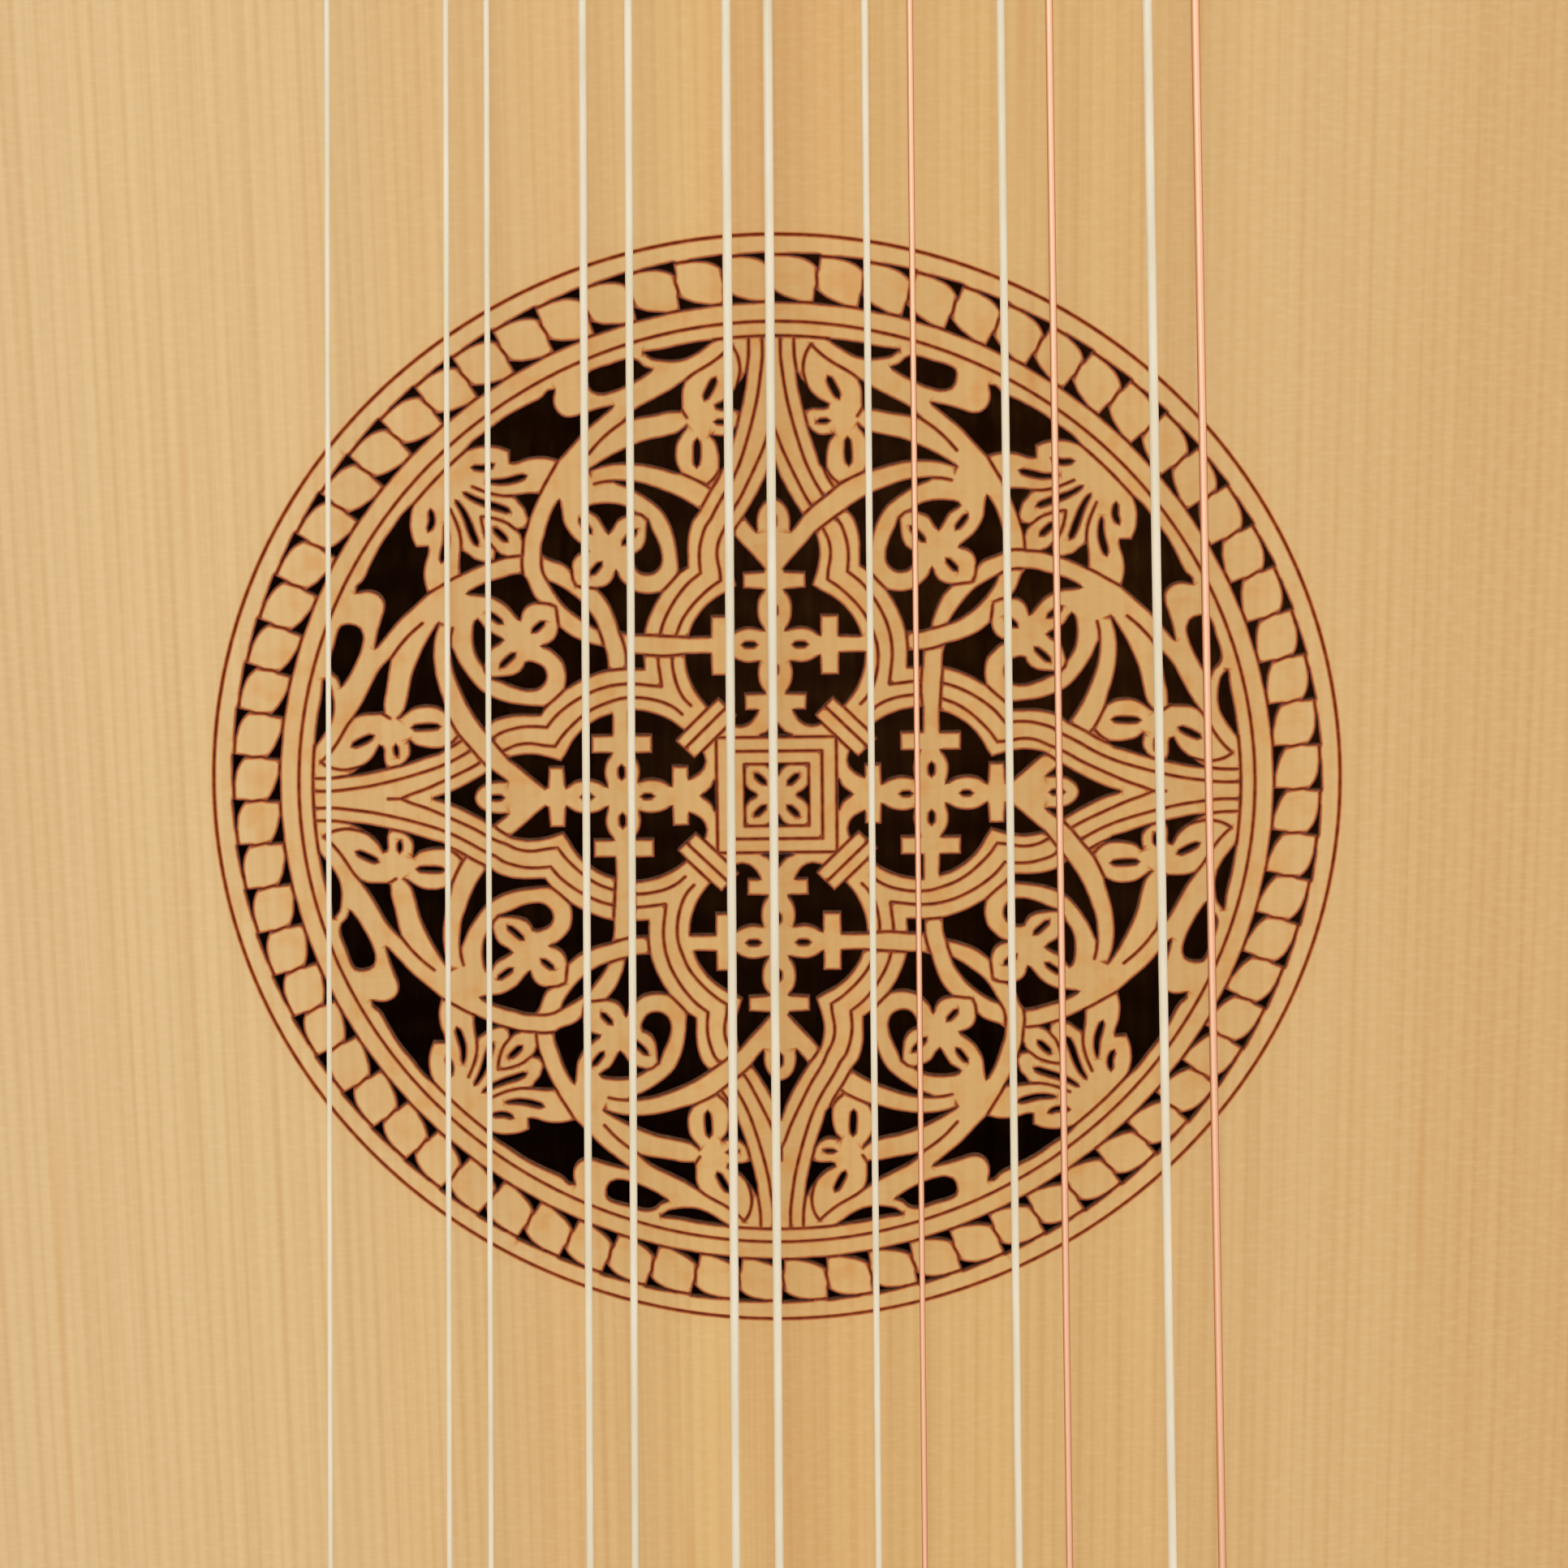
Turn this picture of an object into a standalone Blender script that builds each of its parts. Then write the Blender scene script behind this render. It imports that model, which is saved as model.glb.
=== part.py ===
"""Seven-course Renaissance lute: ribbed bowl, pierced soundboard, neck, bent-back pegbox, 13 strings.

+Z runs up the neck, the soundboard faces -Y and +X is to the right of someone looking at it.
The origin is the centre of the strap button's flat end face.
"""

import math

import bmesh
import bpy
from mathutils import Matrix, Vector

MM = 0.001
GAP = 0.3 * MM                  # clearance between neighbouring solids

# Body
FACE_Y = -18.0 * MM             # front face of the soundboard and of the fingerboard
BOARD_THICK = 1.8 * MM
BOWL_Y = FACE_Y + BOARD_THICK + GAP
OVERHANG = 1.3 * MM             # soundboard edge beyond the ribs, flush with the end clasp
WIDEST_Z = 172.0 * MM
BOTTOM_Z = 12.0 * MM
JOINT_Z = 457.0 * MM            # where body and neck meet
HALF_WIDTH = 155.0 * MM
DEPTH = 147.0 * MM
NECK_HALF_WIDTH = 38.5 * MM     # at the joint
JOINT_DEPTH = 28.0 * MM
RIB_COUNT = 9
RIB_THICK = 1.6 * MM

# Strings, bridge and nut
ROSE_Z = 252.0 * MM
BRIDGE_FRONT_Z = 82.0 * MM
STRING_LENGTH = 600.0 * MM
NUT_Z = BRIDGE_FRONT_Z + STRING_LENGTH
BRIDGE_STRING_HEIGHT = 7.5 * MM
NUT_STRING_HEIGHT = 1.6 * MM
BRIDGE_X = -1.5 * MM            # middle of the bridge; the single first course shifts the band left
# Middle of each course in millimetres, from the single first course on the left to the seventh
COURSES_AT_BRIDGE = (-48.6, -33.9, -18.8, -3.4, 11.9, 27.1, 43.5)
COURSES_AT_NUT = (-26.9, -17.4, -8.5, 0.5, 9.4, 17.8, 26.4)
PAIR_GAPS_AT_BRIDGE = (0.0, 4.4, 4.7, 4.6, 4.9, 5.4, 5.3)
PAIR_GAPS_AT_NUT = (0.0, 2.6, 3.3, 2.6, 2.9, 2.9, 2.9)
STRING_DIAMETERS = (0.5, 0.54, 0.54, 0.74, 0.74, 0.87, 0.87, 0.64, 0.6, 0.74, 0.72, 0.87, 0.82)
WOUND_STRINGS = (8, 10, 12)     # copper wound, the others are gut

# Neck
NECK_TOP_Z = 682.5 * MM
NECK_TOP_HALF_WIDTH = 31.0 * MM
NECK_TOP_DEPTH = 20.0 * MM
FINGERBOARD_THICK = 3.0 * MM
FINGERBOARD_TOP_Z = 680.0 * MM
NECK_BACK_FACETS = 12
NUT_TALL = 3.6 * MM             # along the neck
NUT_PROUD = 0.8 * MM            # above the fingerboard
FRET_COUNT = 8
FRET_RADIUS_FIRST = 0.5 * MM
FRET_RADIUS_LAST = 0.3 * MM

# Pegbox: s runs back along it from the neck, n rises out of its open side
PEGBOX_BEND = math.radians(85.0)
PEGBOX_ORIGIN = Vector((0.0, -6.7 * MM, 683.0 * MM))
PEGBOX_ALONG = Vector((0.0, math.sin(PEGBOX_BEND), math.cos(PEGBOX_BEND)))
PEGBOX_UP = Vector((0.0, -math.cos(PEGBOX_BEND), math.sin(PEGBOX_BEND)))
PEGBOX_LENGTH = 200.0 * MM
PEGBOX_HALF_WIDTH = 30.0 * MM
PEGBOX_END_HALF_WIDTH = 21.0 * MM
CHEEK_THICK = 4.5 * MM
CHEEK_HEIGHT = 24.0 * MM
CHEEK_END_HEIGHT = 14.0 * MM
BACK_THICK = 3.0 * MM
PEG_COUNT = 13
PEG_FIRST_S = 22.0 * MM
PEG_PITCH = 13.2 * MM
PEG_SINK = 9.0 * MM             # peg axes below the pegbox's open edge
PEG_HEAD_RADIUS = 4.0 * MM      # shaft at the head side
PEG_TIP_RADIUS = 3.1 * MM
PEG_HOLE_CLEARANCE = 0.45 * MM
PEG_PROUD = 3.0 * MM            # shaft beyond the far cheek
COLLAR_GAP = 2.0 * MM
WINDING_RADIUS = 0.7 * MM       # wound string on the shaft
WINDING_HALF = 3.0 * MM

# Colour, roughness, metallic
FINISHES = {
    "spruce": ((0.66, 0.46, 0.23), 0.55, 0.0),
    "maple": ((0.47, 0.23, 0.08), 0.32, 0.0),
    "pine_block": ((0.62, 0.44, 0.24), 0.70, 0.0),
    "ebony": ((0.020, 0.014, 0.011), 0.35, 0.0),
    "pear": ((0.12, 0.055, 0.028), 0.42, 0.0),
    "plum": ((0.17, 0.055, 0.028), 0.33, 0.0),
    "bone": ((0.78, 0.70, 0.54), 0.38, 0.0),
    "gut": ((0.78, 0.68, 0.46), 0.35, 0.0),
    "copper": ((0.80, 0.42, 0.25), 0.32, 1.0),
}


def clear_scene():
    for item in list(bpy.data.objects):
        bpy.data.objects.remove(item, do_unlink=True)


def make_materials():
    made = {}
    for name, (colour, roughness, metallic) in FINISHES.items():
        material = bpy.data.materials.new(name)
        material.use_nodes = True
        shader = material.node_tree.nodes["Principled BSDF"]
        shader.inputs["Base Color"].default_value = (*colour, 1.0)
        shader.inputs["Roughness"].default_value = roughness
        shader.inputs["Metallic"].default_value = metallic
        made[name] = material
    return made


def make_collection(name):
    collection = bpy.data.collections.new(name)
    bpy.context.scene.collection.children.link(collection)
    return collection


clear_scene()
MATERIALS = make_materials()
PARTS = make_collection("lute")
CUTTERS = make_collection("cutters")


def add_part(name, data, finish, matrix=None):
    piece = bpy.data.objects.new(name, data)
    data.materials.append(MATERIALS[finish])
    if matrix is not None:
        piece.matrix_world = matrix
    PARTS.objects.link(piece)
    return piece


def add_cutter(name, data, matrix=None):
    cutter = bpy.data.objects.new(name, data)
    if matrix is not None:
        cutter.matrix_world = matrix
    cutter.hide_render = True
    cutter.display_type = "WIRE"
    CUTTERS.objects.link(cutter)
    return cutter


def axes_matrix(x_axis, y_axis, z_axis, origin):
    rotation = Matrix((x_axis, y_axis, z_axis)).transposed().to_4x4()
    return Matrix.Translation(origin) @ rotation


def loft_mesh(name, sections):
    """Closed solid through rings that all have the same number of points."""
    shape = bmesh.new()
    rings = [[shape.verts.new(point) for point in section] for section in sections]
    count = len(rings[0])
    for lower, upper in zip(rings, rings[1:]):
        for i in range(count):
            j = (i + 1) % count
            shape.faces.new((lower[i], lower[j], upper[j], upper[i]))
    shape.faces.new(rings[0])
    shape.faces.new(rings[-1])
    bmesh.ops.recalc_face_normals(shape, faces=shape.faces)
    mesh = bpy.data.meshes.new(name)
    shape.to_mesh(mesh)
    shape.free()
    return mesh


def outline_data(name, outlines, thickness):
    """Flat plate from closed outlines; the first is the edge and the others are holes."""
    curve = bpy.data.curves.new(name, "CURVE")
    curve.dimensions = "2D"
    curve.fill_mode = "BOTH"
    curve.extrude = thickness / 2
    for outline in outlines:
        spline = curve.splines.new("POLY")
        spline.points.add(len(outline) - 1)
        for point, (x, y) in zip(spline.points, outline):
            point.co = (x, y, 0.0, 1.0)
        spline.use_cyclic_u = True
    return curve


def tube_data(name, route, radius, resolution, closed=False):
    curve = bpy.data.curves.new(name, "CURVE")
    curve.dimensions = "3D"
    curve.bevel_depth = radius
    curve.bevel_resolution = resolution
    curve.use_fill_caps = not closed
    spline = curve.splines.new("POLY")
    spline.points.add(len(route) - 1)
    for point, place in zip(spline.points, route):
        point.co = (*place, 1.0)
    spline.use_cyclic_u = closed
    return curve


def box_mesh(name, low, high):
    shape = bmesh.new()
    bmesh.ops.create_cube(shape, size=1.0)
    for vert in shape.verts:
        vert.co = Vector([(a + b) / 2 + c * (b - a) for a, b, c in zip(low, high, vert.co)])
    mesh = bpy.data.meshes.new(name)
    shape.to_mesh(mesh)
    shape.free()
    return mesh


def add_screw(piece, steps):
    screw = piece.modifiers.new("turn", "SCREW")
    screw.axis = "Z"
    screw.angle = math.tau
    screw.steps = steps
    screw.render_steps = steps
    screw.use_merge_vertices = True
    screw.merge_threshold = 0.00001


def profile_mesh(name, profile):
    shape = bmesh.new()
    verts = [shape.verts.new((radius, 0.0, height)) for radius, height in profile]
    for first, second in zip(verts, verts[1:]):
        shape.edges.new((first, second))
    mesh = bpy.data.meshes.new(name)
    shape.to_mesh(mesh)
    shape.free()
    return mesh


def add_boolean(piece, other, operation):
    cut = piece.modifiers.new(operation.lower(), "BOOLEAN")
    cut.operation = operation
    cut.solver = "EXACT"
    cut.object = other


# ---------------------------------------------------------------- body shape

def side_radius(half, end):
    """Radius of the arc that leaves the widest line straight up and reaches `end` at the joint."""
    rise = JOINT_Z - WIDEST_Z
    drop = half - end
    return (rise * rise + drop * drop) / (2 * drop)


def side_arc(z, half, end, inset):
    radius = side_radius(half, end)
    return half - radius + math.sqrt((radius - inset) ** 2 - (z - WIDEST_Z) ** 2)


def bowl_station(t, inset):
    """Half width, depth and height of the bowl at t: 0 at the bottom pole, 1 widest, 2 at the neck."""
    if t <= 1.0:
        angle = math.radians(90.0) * (1.0 - t)
        width = (HALF_WIDTH - inset) * math.cos(angle)
        depth = (DEPTH - inset) * math.cos(angle)
        return width, depth, WIDEST_Z - (WIDEST_Z - BOTTOM_Z - inset) * math.sin(angle)
    z = WIDEST_Z + (t - 1.0) * (JOINT_Z - WIDEST_Z)
    width = side_arc(z, HALF_WIDTH, NECK_HALF_WIDTH, inset)
    depth = side_arc(z, DEPTH, JOINT_DEPTH, inset)
    return width, depth, z


def bowl_point(t, angle, inset):
    width, depth, z = bowl_station(t, inset)
    return Vector((width * math.cos(angle), BOWL_Y + depth * math.sin(angle), z))


def bowl_section(t, inset):
    """Ring across the bowl with a corner at every rib joint."""
    return [bowl_point(t, math.pi * i / RIB_COUNT, inset) for i in range(RIB_COUNT + 1)]


def rib_stations():
    lowest = 0.04
    bottom = [lowest + (1.0 - lowest) * i / 12 for i in range(12)]
    return bottom + [1.0 + i / 10 for i in range(11)]


def build_ribs():
    half_gap = GAP / 2
    for index in range(RIB_COUNT):
        start = math.pi * index / RIB_COUNT
        end = math.pi * (index + 1) / RIB_COUNT
        sections = []
        for t in rib_stations():
            ring = []
            for inset, order in ((0.0, (start, end)), (RIB_THICK, (end, start))):
                a = bowl_point(t, order[0], inset)
                b = bowl_point(t, order[1], inset)
                step = (b - a).normalized() * half_gap
                ring += [a + step, b - step]
            sections.append(ring)
        name = "rib_%d" % (index + 1)
        add_part(name, loft_mesh(name, sections), "maple")


def ellipsoid_point(angle, back, grow):
    """Point of the bowl's round lower end: angle along the rim from the bottom, back from the rim."""
    level = math.sqrt(1.0 - (back / (DEPTH + grow)) ** 2)
    x = (HALF_WIDTH + grow) * level * math.sin(angle)
    z = WIDEST_Z - (WIDEST_Z - BOTTOM_Z + grow) * level * math.cos(angle)
    return Vector((x, BOWL_Y + back, z))


def build_end_clasp():
    reach = math.radians(46.0)
    deepest = 28.0 * MM
    shallowest = 3.0 * MM
    steps = 30
    rows = 4
    sections = []
    for i in range(steps + 1):
        angle = -reach + 2 * reach * i / steps
        wave = math.cos(angle / reach * math.pi / 2)
        span = shallowest + (deepest - shallowest) * wave ** 0.8
        backs = [span * k / rows for k in range(rows + 1)]
        outer = [ellipsoid_point(angle, back, OVERHANG) for back in backs]
        inner = [ellipsoid_point(angle, back, GAP) for back in reversed(backs)]
        sections.append(outer + inner)
    add_part("end_clasp", loft_mesh("end_clasp", sections), "maple")


def build_blocks():
    inset = RIB_THICK + 4 * GAP
    neck_sections = [bowl_section(t, inset) for t in (1.89, 1.945, 2.0 - 0.001)]
    add_part("neck_block", loft_mesh("neck_block", neck_sections), "pine_block")
    tail_sections = [bowl_section(t, inset) for t in (0.10, 0.16, 0.22, 0.30)]
    add_part("tail_block", loft_mesh("tail_block", tail_sections), "pine_block")


def build_bars():
    width = 5.0 * MM
    height = 14.0 * MM
    end_clearance = 5.5 * MM
    for index, z in enumerate((140.0 * MM, 190.0 * MM, 314.0 * MM, 372.0 * MM)):
        half = bowl_station(1.0, RIB_THICK)[0] if z < WIDEST_Z else side_arc(
            z + width, HALF_WIDTH, NECK_HALF_WIDTH, RIB_THICK)
        half -= end_clearance
        toe = 4.0 * MM
        outline = [(-half, 0.0), (half, 0.0), (half, toe), (half - 3 * toe, height),
                   (3 * toe - half, height), (-half, toe)]
        sections = [[Vector((x, BOWL_Y + y, z + side * width / 2)) for x, y in outline] for side in (-1, 1)]
        name = "bar_%d" % (index + 1)
        add_part(name, loft_mesh(name, sections), "spruce")


# ---------------------------------------------------------------- soundboard

# Main openings of one eighth of the rose, in millimetres from its centre: right and up.
ROSE_OPENINGS = (
    ((2.3, 41.0), (3.1, 39.6), (5.2, 38.1), (3.0, 37.4)),
    ((8.5, 39.9), (13.0, 37.5), (14.6, 36.0), (12.0, 36.9), (8.5, 37.4)),
    ((11.3, 41.4), (12.6, 42.3), (15.0, 41.9), (17.1, 41.0), (16.2, 39.3), (12.5, 40.5)),
    ((8.3, 35.5), (13.0, 34.1), (16.4, 32.2), (12.0, 32.5), (8.0, 31.3), (8.5, 33.2)),
    ((15.2, 38.0), (17.2, 35.8), (19.5, 33.6), (24.6, 34.1), (27.2, 34.5), (24.0, 37.0), (20.4, 39.3),
     (18.6, 37.3)),
    ((12.5, 16.4), (11.6, 19.4), (13.2, 19.9), (14.4, 20.8), (15.5, 20.2), (14.6, 18.0), (14.3, 16.6)),
    ((2.0, 10.5), (2.1, 12.7), (4.1, 13.1), (4.2, 11.5), (6.4, 11.6), (8.1, 12.4), (7.3, 10.2), (6.0, 9.2)),
    ((2.1, 17.0), (4.1, 16.6), (6.4, 17.9), (7.9, 16.0), (7.2, 17.9), (5.3, 19.7), (2.1, 20.0)),
)


def mirrored(outline):
    return [(-x, y) for x, y in reversed(outline)]


def rotated(outline, quarter_turns):
    points = outline
    for _ in range(quarter_turns):
        points = [(-y, x) for x, y in points]
    return points


def rose_holes():
    holes = []
    for opening in ROSE_OPENINGS:
        for half in (list(opening), mirrored(opening)):
            for quarter in range(4):
                turned = rotated(half, quarter)
                holes.append([(x * MM, y * MM + ROSE_Z) for x, y in turned])
    return holes


def board_edge():
    grow = OVERHANG
    right = []
    for i in range(1, 13):
        z = JOINT_Z + (WIDEST_Z - JOINT_Z) * i / 12
        right.append((side_arc(z, HALF_WIDTH, NECK_HALF_WIDTH, -grow), z))
    for i in range(1, 13):
        angle = math.radians(90.0) * i / 12
        x = (HALF_WIDTH + grow) * math.cos(angle)
        right.append((x, WIDEST_Z - (WIDEST_Z - BOTTOM_Z + grow) * math.sin(angle)))
    top = (NECK_HALF_WIDTH, JOINT_Z)
    return [(-x, y) for x, y in [top] + right[:-1]] + [(0.0, right[-1][1])] + list(reversed([top] + right[:-1]))


def facing(y):
    """Places a flat outline drawn in x, z so that its thickness is centred on y."""
    return axes_matrix((1, 0, 0), (0, 0, 1), (0, -1, 0), (0.0, y, 0.0))


def build_soundboard():
    plate = outline_data("soundboard", [board_edge()] + rose_holes(), BOARD_THICK)
    add_part("soundboard", plate, "spruce", facing(FACE_Y + BOARD_THICK / 2))


def build_bridge():
    depth = 12.0 * MM
    half = 55.0 * MM
    tall = 9.6 * MM
    outline = [(-75.0 * MM, 0.0), (75.0 * MM, 0.0), (73.0 * MM, 2.4 * MM), (62.0 * MM, 3.2 * MM),
               (half, tall), (-half, tall), (-62.0 * MM, 3.2 * MM), (-73.0 * MM, 2.4 * MM)]
    middle = Vector((BRIDGE_X, FACE_Y - GAP, BRIDGE_FRONT_Z - depth / 2))
    matrix = axes_matrix((1, 0, 0), (0, -1, 0), (0, 0, -1), middle)
    add_part("bridge", outline_data("bridge", [outline], depth), "pear", matrix)


# ---------------------------------------------------------------- neck

def neck_share(z):
    return (z - JOINT_Z) / (NECK_TOP_Z - JOINT_Z)


def neck_half_width(z):
    return NECK_HALF_WIDTH + (NECK_TOP_HALF_WIDTH - NECK_HALF_WIDTH) * neck_share(z)


def neck_back(z):
    """Depth of the neck from the fingerboard's back to its own back."""
    at_joint = JOINT_DEPTH - (FINGERBOARD_THICK - BOARD_THICK)
    at_top = NECK_TOP_DEPTH - FINGERBOARD_THICK
    return at_joint + (at_top - at_joint) * neck_share(z)


def neck_arc(z, grow):
    """Round back of the neck from its right edge to its left edge, grown outwards."""
    front = FACE_Y + FINGERBOARD_THICK + GAP
    points = []
    for i in range(NECK_BACK_FACETS + 1):
        angle = math.pi * i / NECK_BACK_FACETS
        x = (neck_half_width(z) + grow) * math.cos(angle)
        points.append(Vector((x, front + (neck_back(z) + grow) * math.sin(angle), z)))
    return points


def build_neck():
    low = JOINT_Z + GAP
    neck = add_part("neck", loft_mesh("neck", [neck_arc(low, 0.0), neck_arc(NECK_TOP_Z, 0.0)]), "ebony")
    floor = -(CHEEK_HEIGHT + BACK_THICK + 2 * GAP)
    notch = box_mesh("pegbox_notch", (-50 * MM, -GAP, floor), (50 * MM, 80 * MM, 40 * MM))
    matrix = axes_matrix((1, 0, 0), PEGBOX_ALONG, PEGBOX_UP, PEGBOX_ORIGIN)
    add_boolean(neck, add_cutter("pegbox_notch", notch, matrix), "DIFFERENCE")
    low_half = neck_half_width(low)
    top_half = neck_half_width(FINGERBOARD_TOP_Z)
    outline = [(-low_half, low), (low_half, low), (top_half, FINGERBOARD_TOP_Z), (-top_half, FINGERBOARD_TOP_Z)]
    board = outline_data("fingerboard", [outline], FINGERBOARD_THICK)
    add_part("fingerboard", board, "ebony", facing(FACE_Y + FINGERBOARD_THICK / 2))


def build_nut():
    """The strings bend over the nut's rounded upper edge into the pegbox."""
    low = FINGERBOARD_TOP_Z + GAP
    high = low + NUT_TALL
    back = FACE_Y + FINGERBOARD_THICK - GAP
    front = FACE_Y - NUT_PROUD
    profile = [(back, low), (front, low), (front, high - 1.5 * MM), (front + 0.6 * MM, high - 0.4 * MM),
               (front + 1.6 * MM, high), (back, high)]
    half = neck_half_width(NUT_Z)
    sections = [[Vector((side * half, y, z)) for y, z in profile] for side in (-1, 1)]
    add_part("nut", loft_mesh("nut", sections), "bone")


def fret_height(number):
    return NUT_Z - STRING_LENGTH * (1.0 - 2.0 ** (-number / 12.0))


def build_frets():
    """Gut loops tied round the neck; each has its origin where its slide joint starts."""
    for number in range(1, FRET_COUNT + 1):
        share = (number - 1) / (FRET_COUNT - 1)
        radius = FRET_RADIUS_FIRST + (FRET_RADIUS_LAST - FRET_RADIUS_FIRST) * share
        grow = GAP + radius
        z = fret_height(number)
        arc = [point - Vector((0.0, 0.0, z)) for point in neck_arc(z, grow)]
        edge = neck_half_width(z) + grow
        front = FACE_Y - grow
        route = arc + [Vector((-edge, front, 0.0)), Vector((edge, front, 0.0))]
        name = "fret_%d" % number
        add_part(name, tube_data(name, route, radius, 1, closed=True), "gut", Matrix.Translation((0, 0, z)))


# ---------------------------------------------------------------- pegbox

def pegbox_point(x, s, n):
    return PEGBOX_ORIGIN + Vector((x, 0.0, 0.0)) + PEGBOX_ALONG * s + PEGBOX_UP * n


def pegbox_half_width(s):
    return PEGBOX_HALF_WIDTH + (PEGBOX_END_HALF_WIDTH - PEGBOX_HALF_WIDTH) * s / PEGBOX_LENGTH


def peg_s(index):
    return PEG_FIRST_S + PEG_PITCH * index


def peg_side(index):
    """Side of the pegbox that the head is on: -1 left, 1 right."""
    return -1 if index % 2 == 0 else 1


def shaft_radius(index, x):
    """The shaft tapers evenly from the head's cheek to the far cheek."""
    half = pegbox_half_width(peg_s(index))
    share = (half - peg_side(index) * x) / (2 * half)
    return PEG_HEAD_RADIUS + (PEG_TIP_RADIUS - PEG_HEAD_RADIUS) * share


def round_hole(centre_x, centre_y, radius, sides=10):
    wide = radius / math.cos(math.pi / sides)
    turns = [math.tau * i / sides for i in range(sides)]
    return [(centre_x + wide * math.cos(a), centre_y + wide * math.sin(a)) for a in turns]


def build_cheeks():
    slope = math.atan2(PEGBOX_HALF_WIDTH - PEGBOX_END_HALF_WIDTH, PEGBOX_LENGTH)
    edge = [(0.0, 0.0), (PEGBOX_LENGTH, 0.0), (PEGBOX_LENGTH + 4 * MM, -4 * MM),
            (PEGBOX_LENGTH + 3 * MM, -CHEEK_END_HEIGHT + 3 * MM), (PEGBOX_LENGTH - 1 * MM, -CHEEK_END_HEIGHT),
            (0.0, -CHEEK_HEIGHT)]
    for side, name in ((-1, "pegbox_cheek_left"), (1, "pegbox_cheek_right")):
        holes = []
        for index in range(PEG_COUNT):
            middle = pegbox_half_width(peg_s(index)) - CHEEK_THICK / 2
            radius = shaft_radius(index, side * middle) + PEG_HOLE_CLEARANCE
            holes.append(round_hole(peg_s(index) / math.cos(slope), -PEG_SINK, radius))
        along = PEGBOX_ALONG * math.cos(slope) - Vector((side * math.sin(slope), 0.0, 0.0))
        through = along.cross(PEGBOX_UP)
        origin = pegbox_point(side * (PEGBOX_HALF_WIDTH - CHEEK_THICK / 2), 0.0, 0.0)
        plate = outline_data(name, [edge] + holes, CHEEK_THICK)
        add_part(name, plate, "maple", axes_matrix(along, PEGBOX_UP, through, origin))


def build_pegbox_back():
    run = PEGBOX_LENGTH - 1 * MM
    rise = math.atan2(CHEEK_HEIGHT - CHEEK_END_HEIGHT, run)
    along = PEGBOX_ALONG * math.cos(rise) + PEGBOX_UP * math.sin(rise)
    up = PEGBOX_UP * math.cos(rise) - PEGBOX_ALONG * math.sin(rise)
    start = 0.6 * MM
    near = pegbox_half_width(start)
    far = pegbox_half_width(run)
    outline = [(-near, start), (near, start), (far, run), (-far, run)]
    origin = pegbox_point(0.0, 0.0, -CHEEK_HEIGHT) - up * (GAP + BACK_THICK / 2)
    plate = outline_data("pegbox_back", [outline], BACK_THICK)
    add_part("pegbox_back", plate, "maple", axes_matrix((1, 0, 0), along, up, origin))


def build_pegbox_end():
    near_s = PEGBOX_LENGTH - 10 * MM
    far_s = PEGBOX_LENGTH - 2 * MM
    sections = []
    for s in (near_s, far_s):
        half = pegbox_half_width(s) - CHEEK_THICK - GAP - 0.1 * MM
        corners = ((-half, -2 * MM), (half, -2 * MM), (half, -CHEEK_END_HEIGHT), (-half, -CHEEK_END_HEIGHT))
        sections.append([pegbox_point(x, s, n) for x, n in corners])
    add_part("pegbox_end", loft_mesh("pegbox_end", sections), "maple")


# ---------------------------------------------------------------- strings and pegs

def string_course(index):
    """Course number from the left, 0 to 6, and which side of its pair the string is."""
    if index == 0:
        return 0, 0.0
    course = (index + 1) // 2
    return course, -0.5 if index % 2 == 1 else 0.5


def string_bridge_x(index):
    course, side = string_course(index)
    return (COURSES_AT_BRIDGE[course] + side * PAIR_GAPS_AT_BRIDGE[course]) * MM


def string_nut_x(index):
    course, side = string_course(index)
    return (COURSES_AT_NUT[course] + side * PAIR_GAPS_AT_NUT[course]) * MM


def winding_x(index):
    """Where the string winds on its peg, brought in so that it clears the cheeks."""
    outermost = 27.0 * MM
    room = pegbox_half_width(peg_s(index)) - CHEEK_THICK - 5.0 * MM
    return string_nut_x(index) * room / outermost


def string_route(index):
    radius = STRING_DIAMETERS[index] * MM / 2
    nut_x = string_nut_x(index)
    peg = pegbox_point(winding_x(index), peg_s(index), -PEG_SINK)
    wound = shaft_radius(index, peg.x) + WINDING_RADIUS
    route = [
        Vector((string_bridge_x(index), FACE_Y - BRIDGE_STRING_HEIGHT, BRIDGE_FRONT_Z + GAP)),
        Vector((nut_x, FACE_Y - NUT_STRING_HEIGHT, NUT_Z)),
        Vector((nut_x, FACE_Y - 1.1 * MM, NUT_Z + 2.2 * MM)),
        Vector((nut_x, FACE_Y + 0.5 * MM, NUT_Z + 3.0 * MM)),
    ]
    route.append(peg + PEGBOX_UP * (wound + GAP + radius))
    return route


def build_strings():
    for index in range(PEG_COUNT):
        finish = "copper" if index in WOUND_STRINGS else "gut"
        name = "string_%02d" % (index + 1)
        radius = STRING_DIAMETERS[index] * MM / 2
        add_part(name, tube_data(name, string_route(index), radius, 2), finish)


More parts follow.
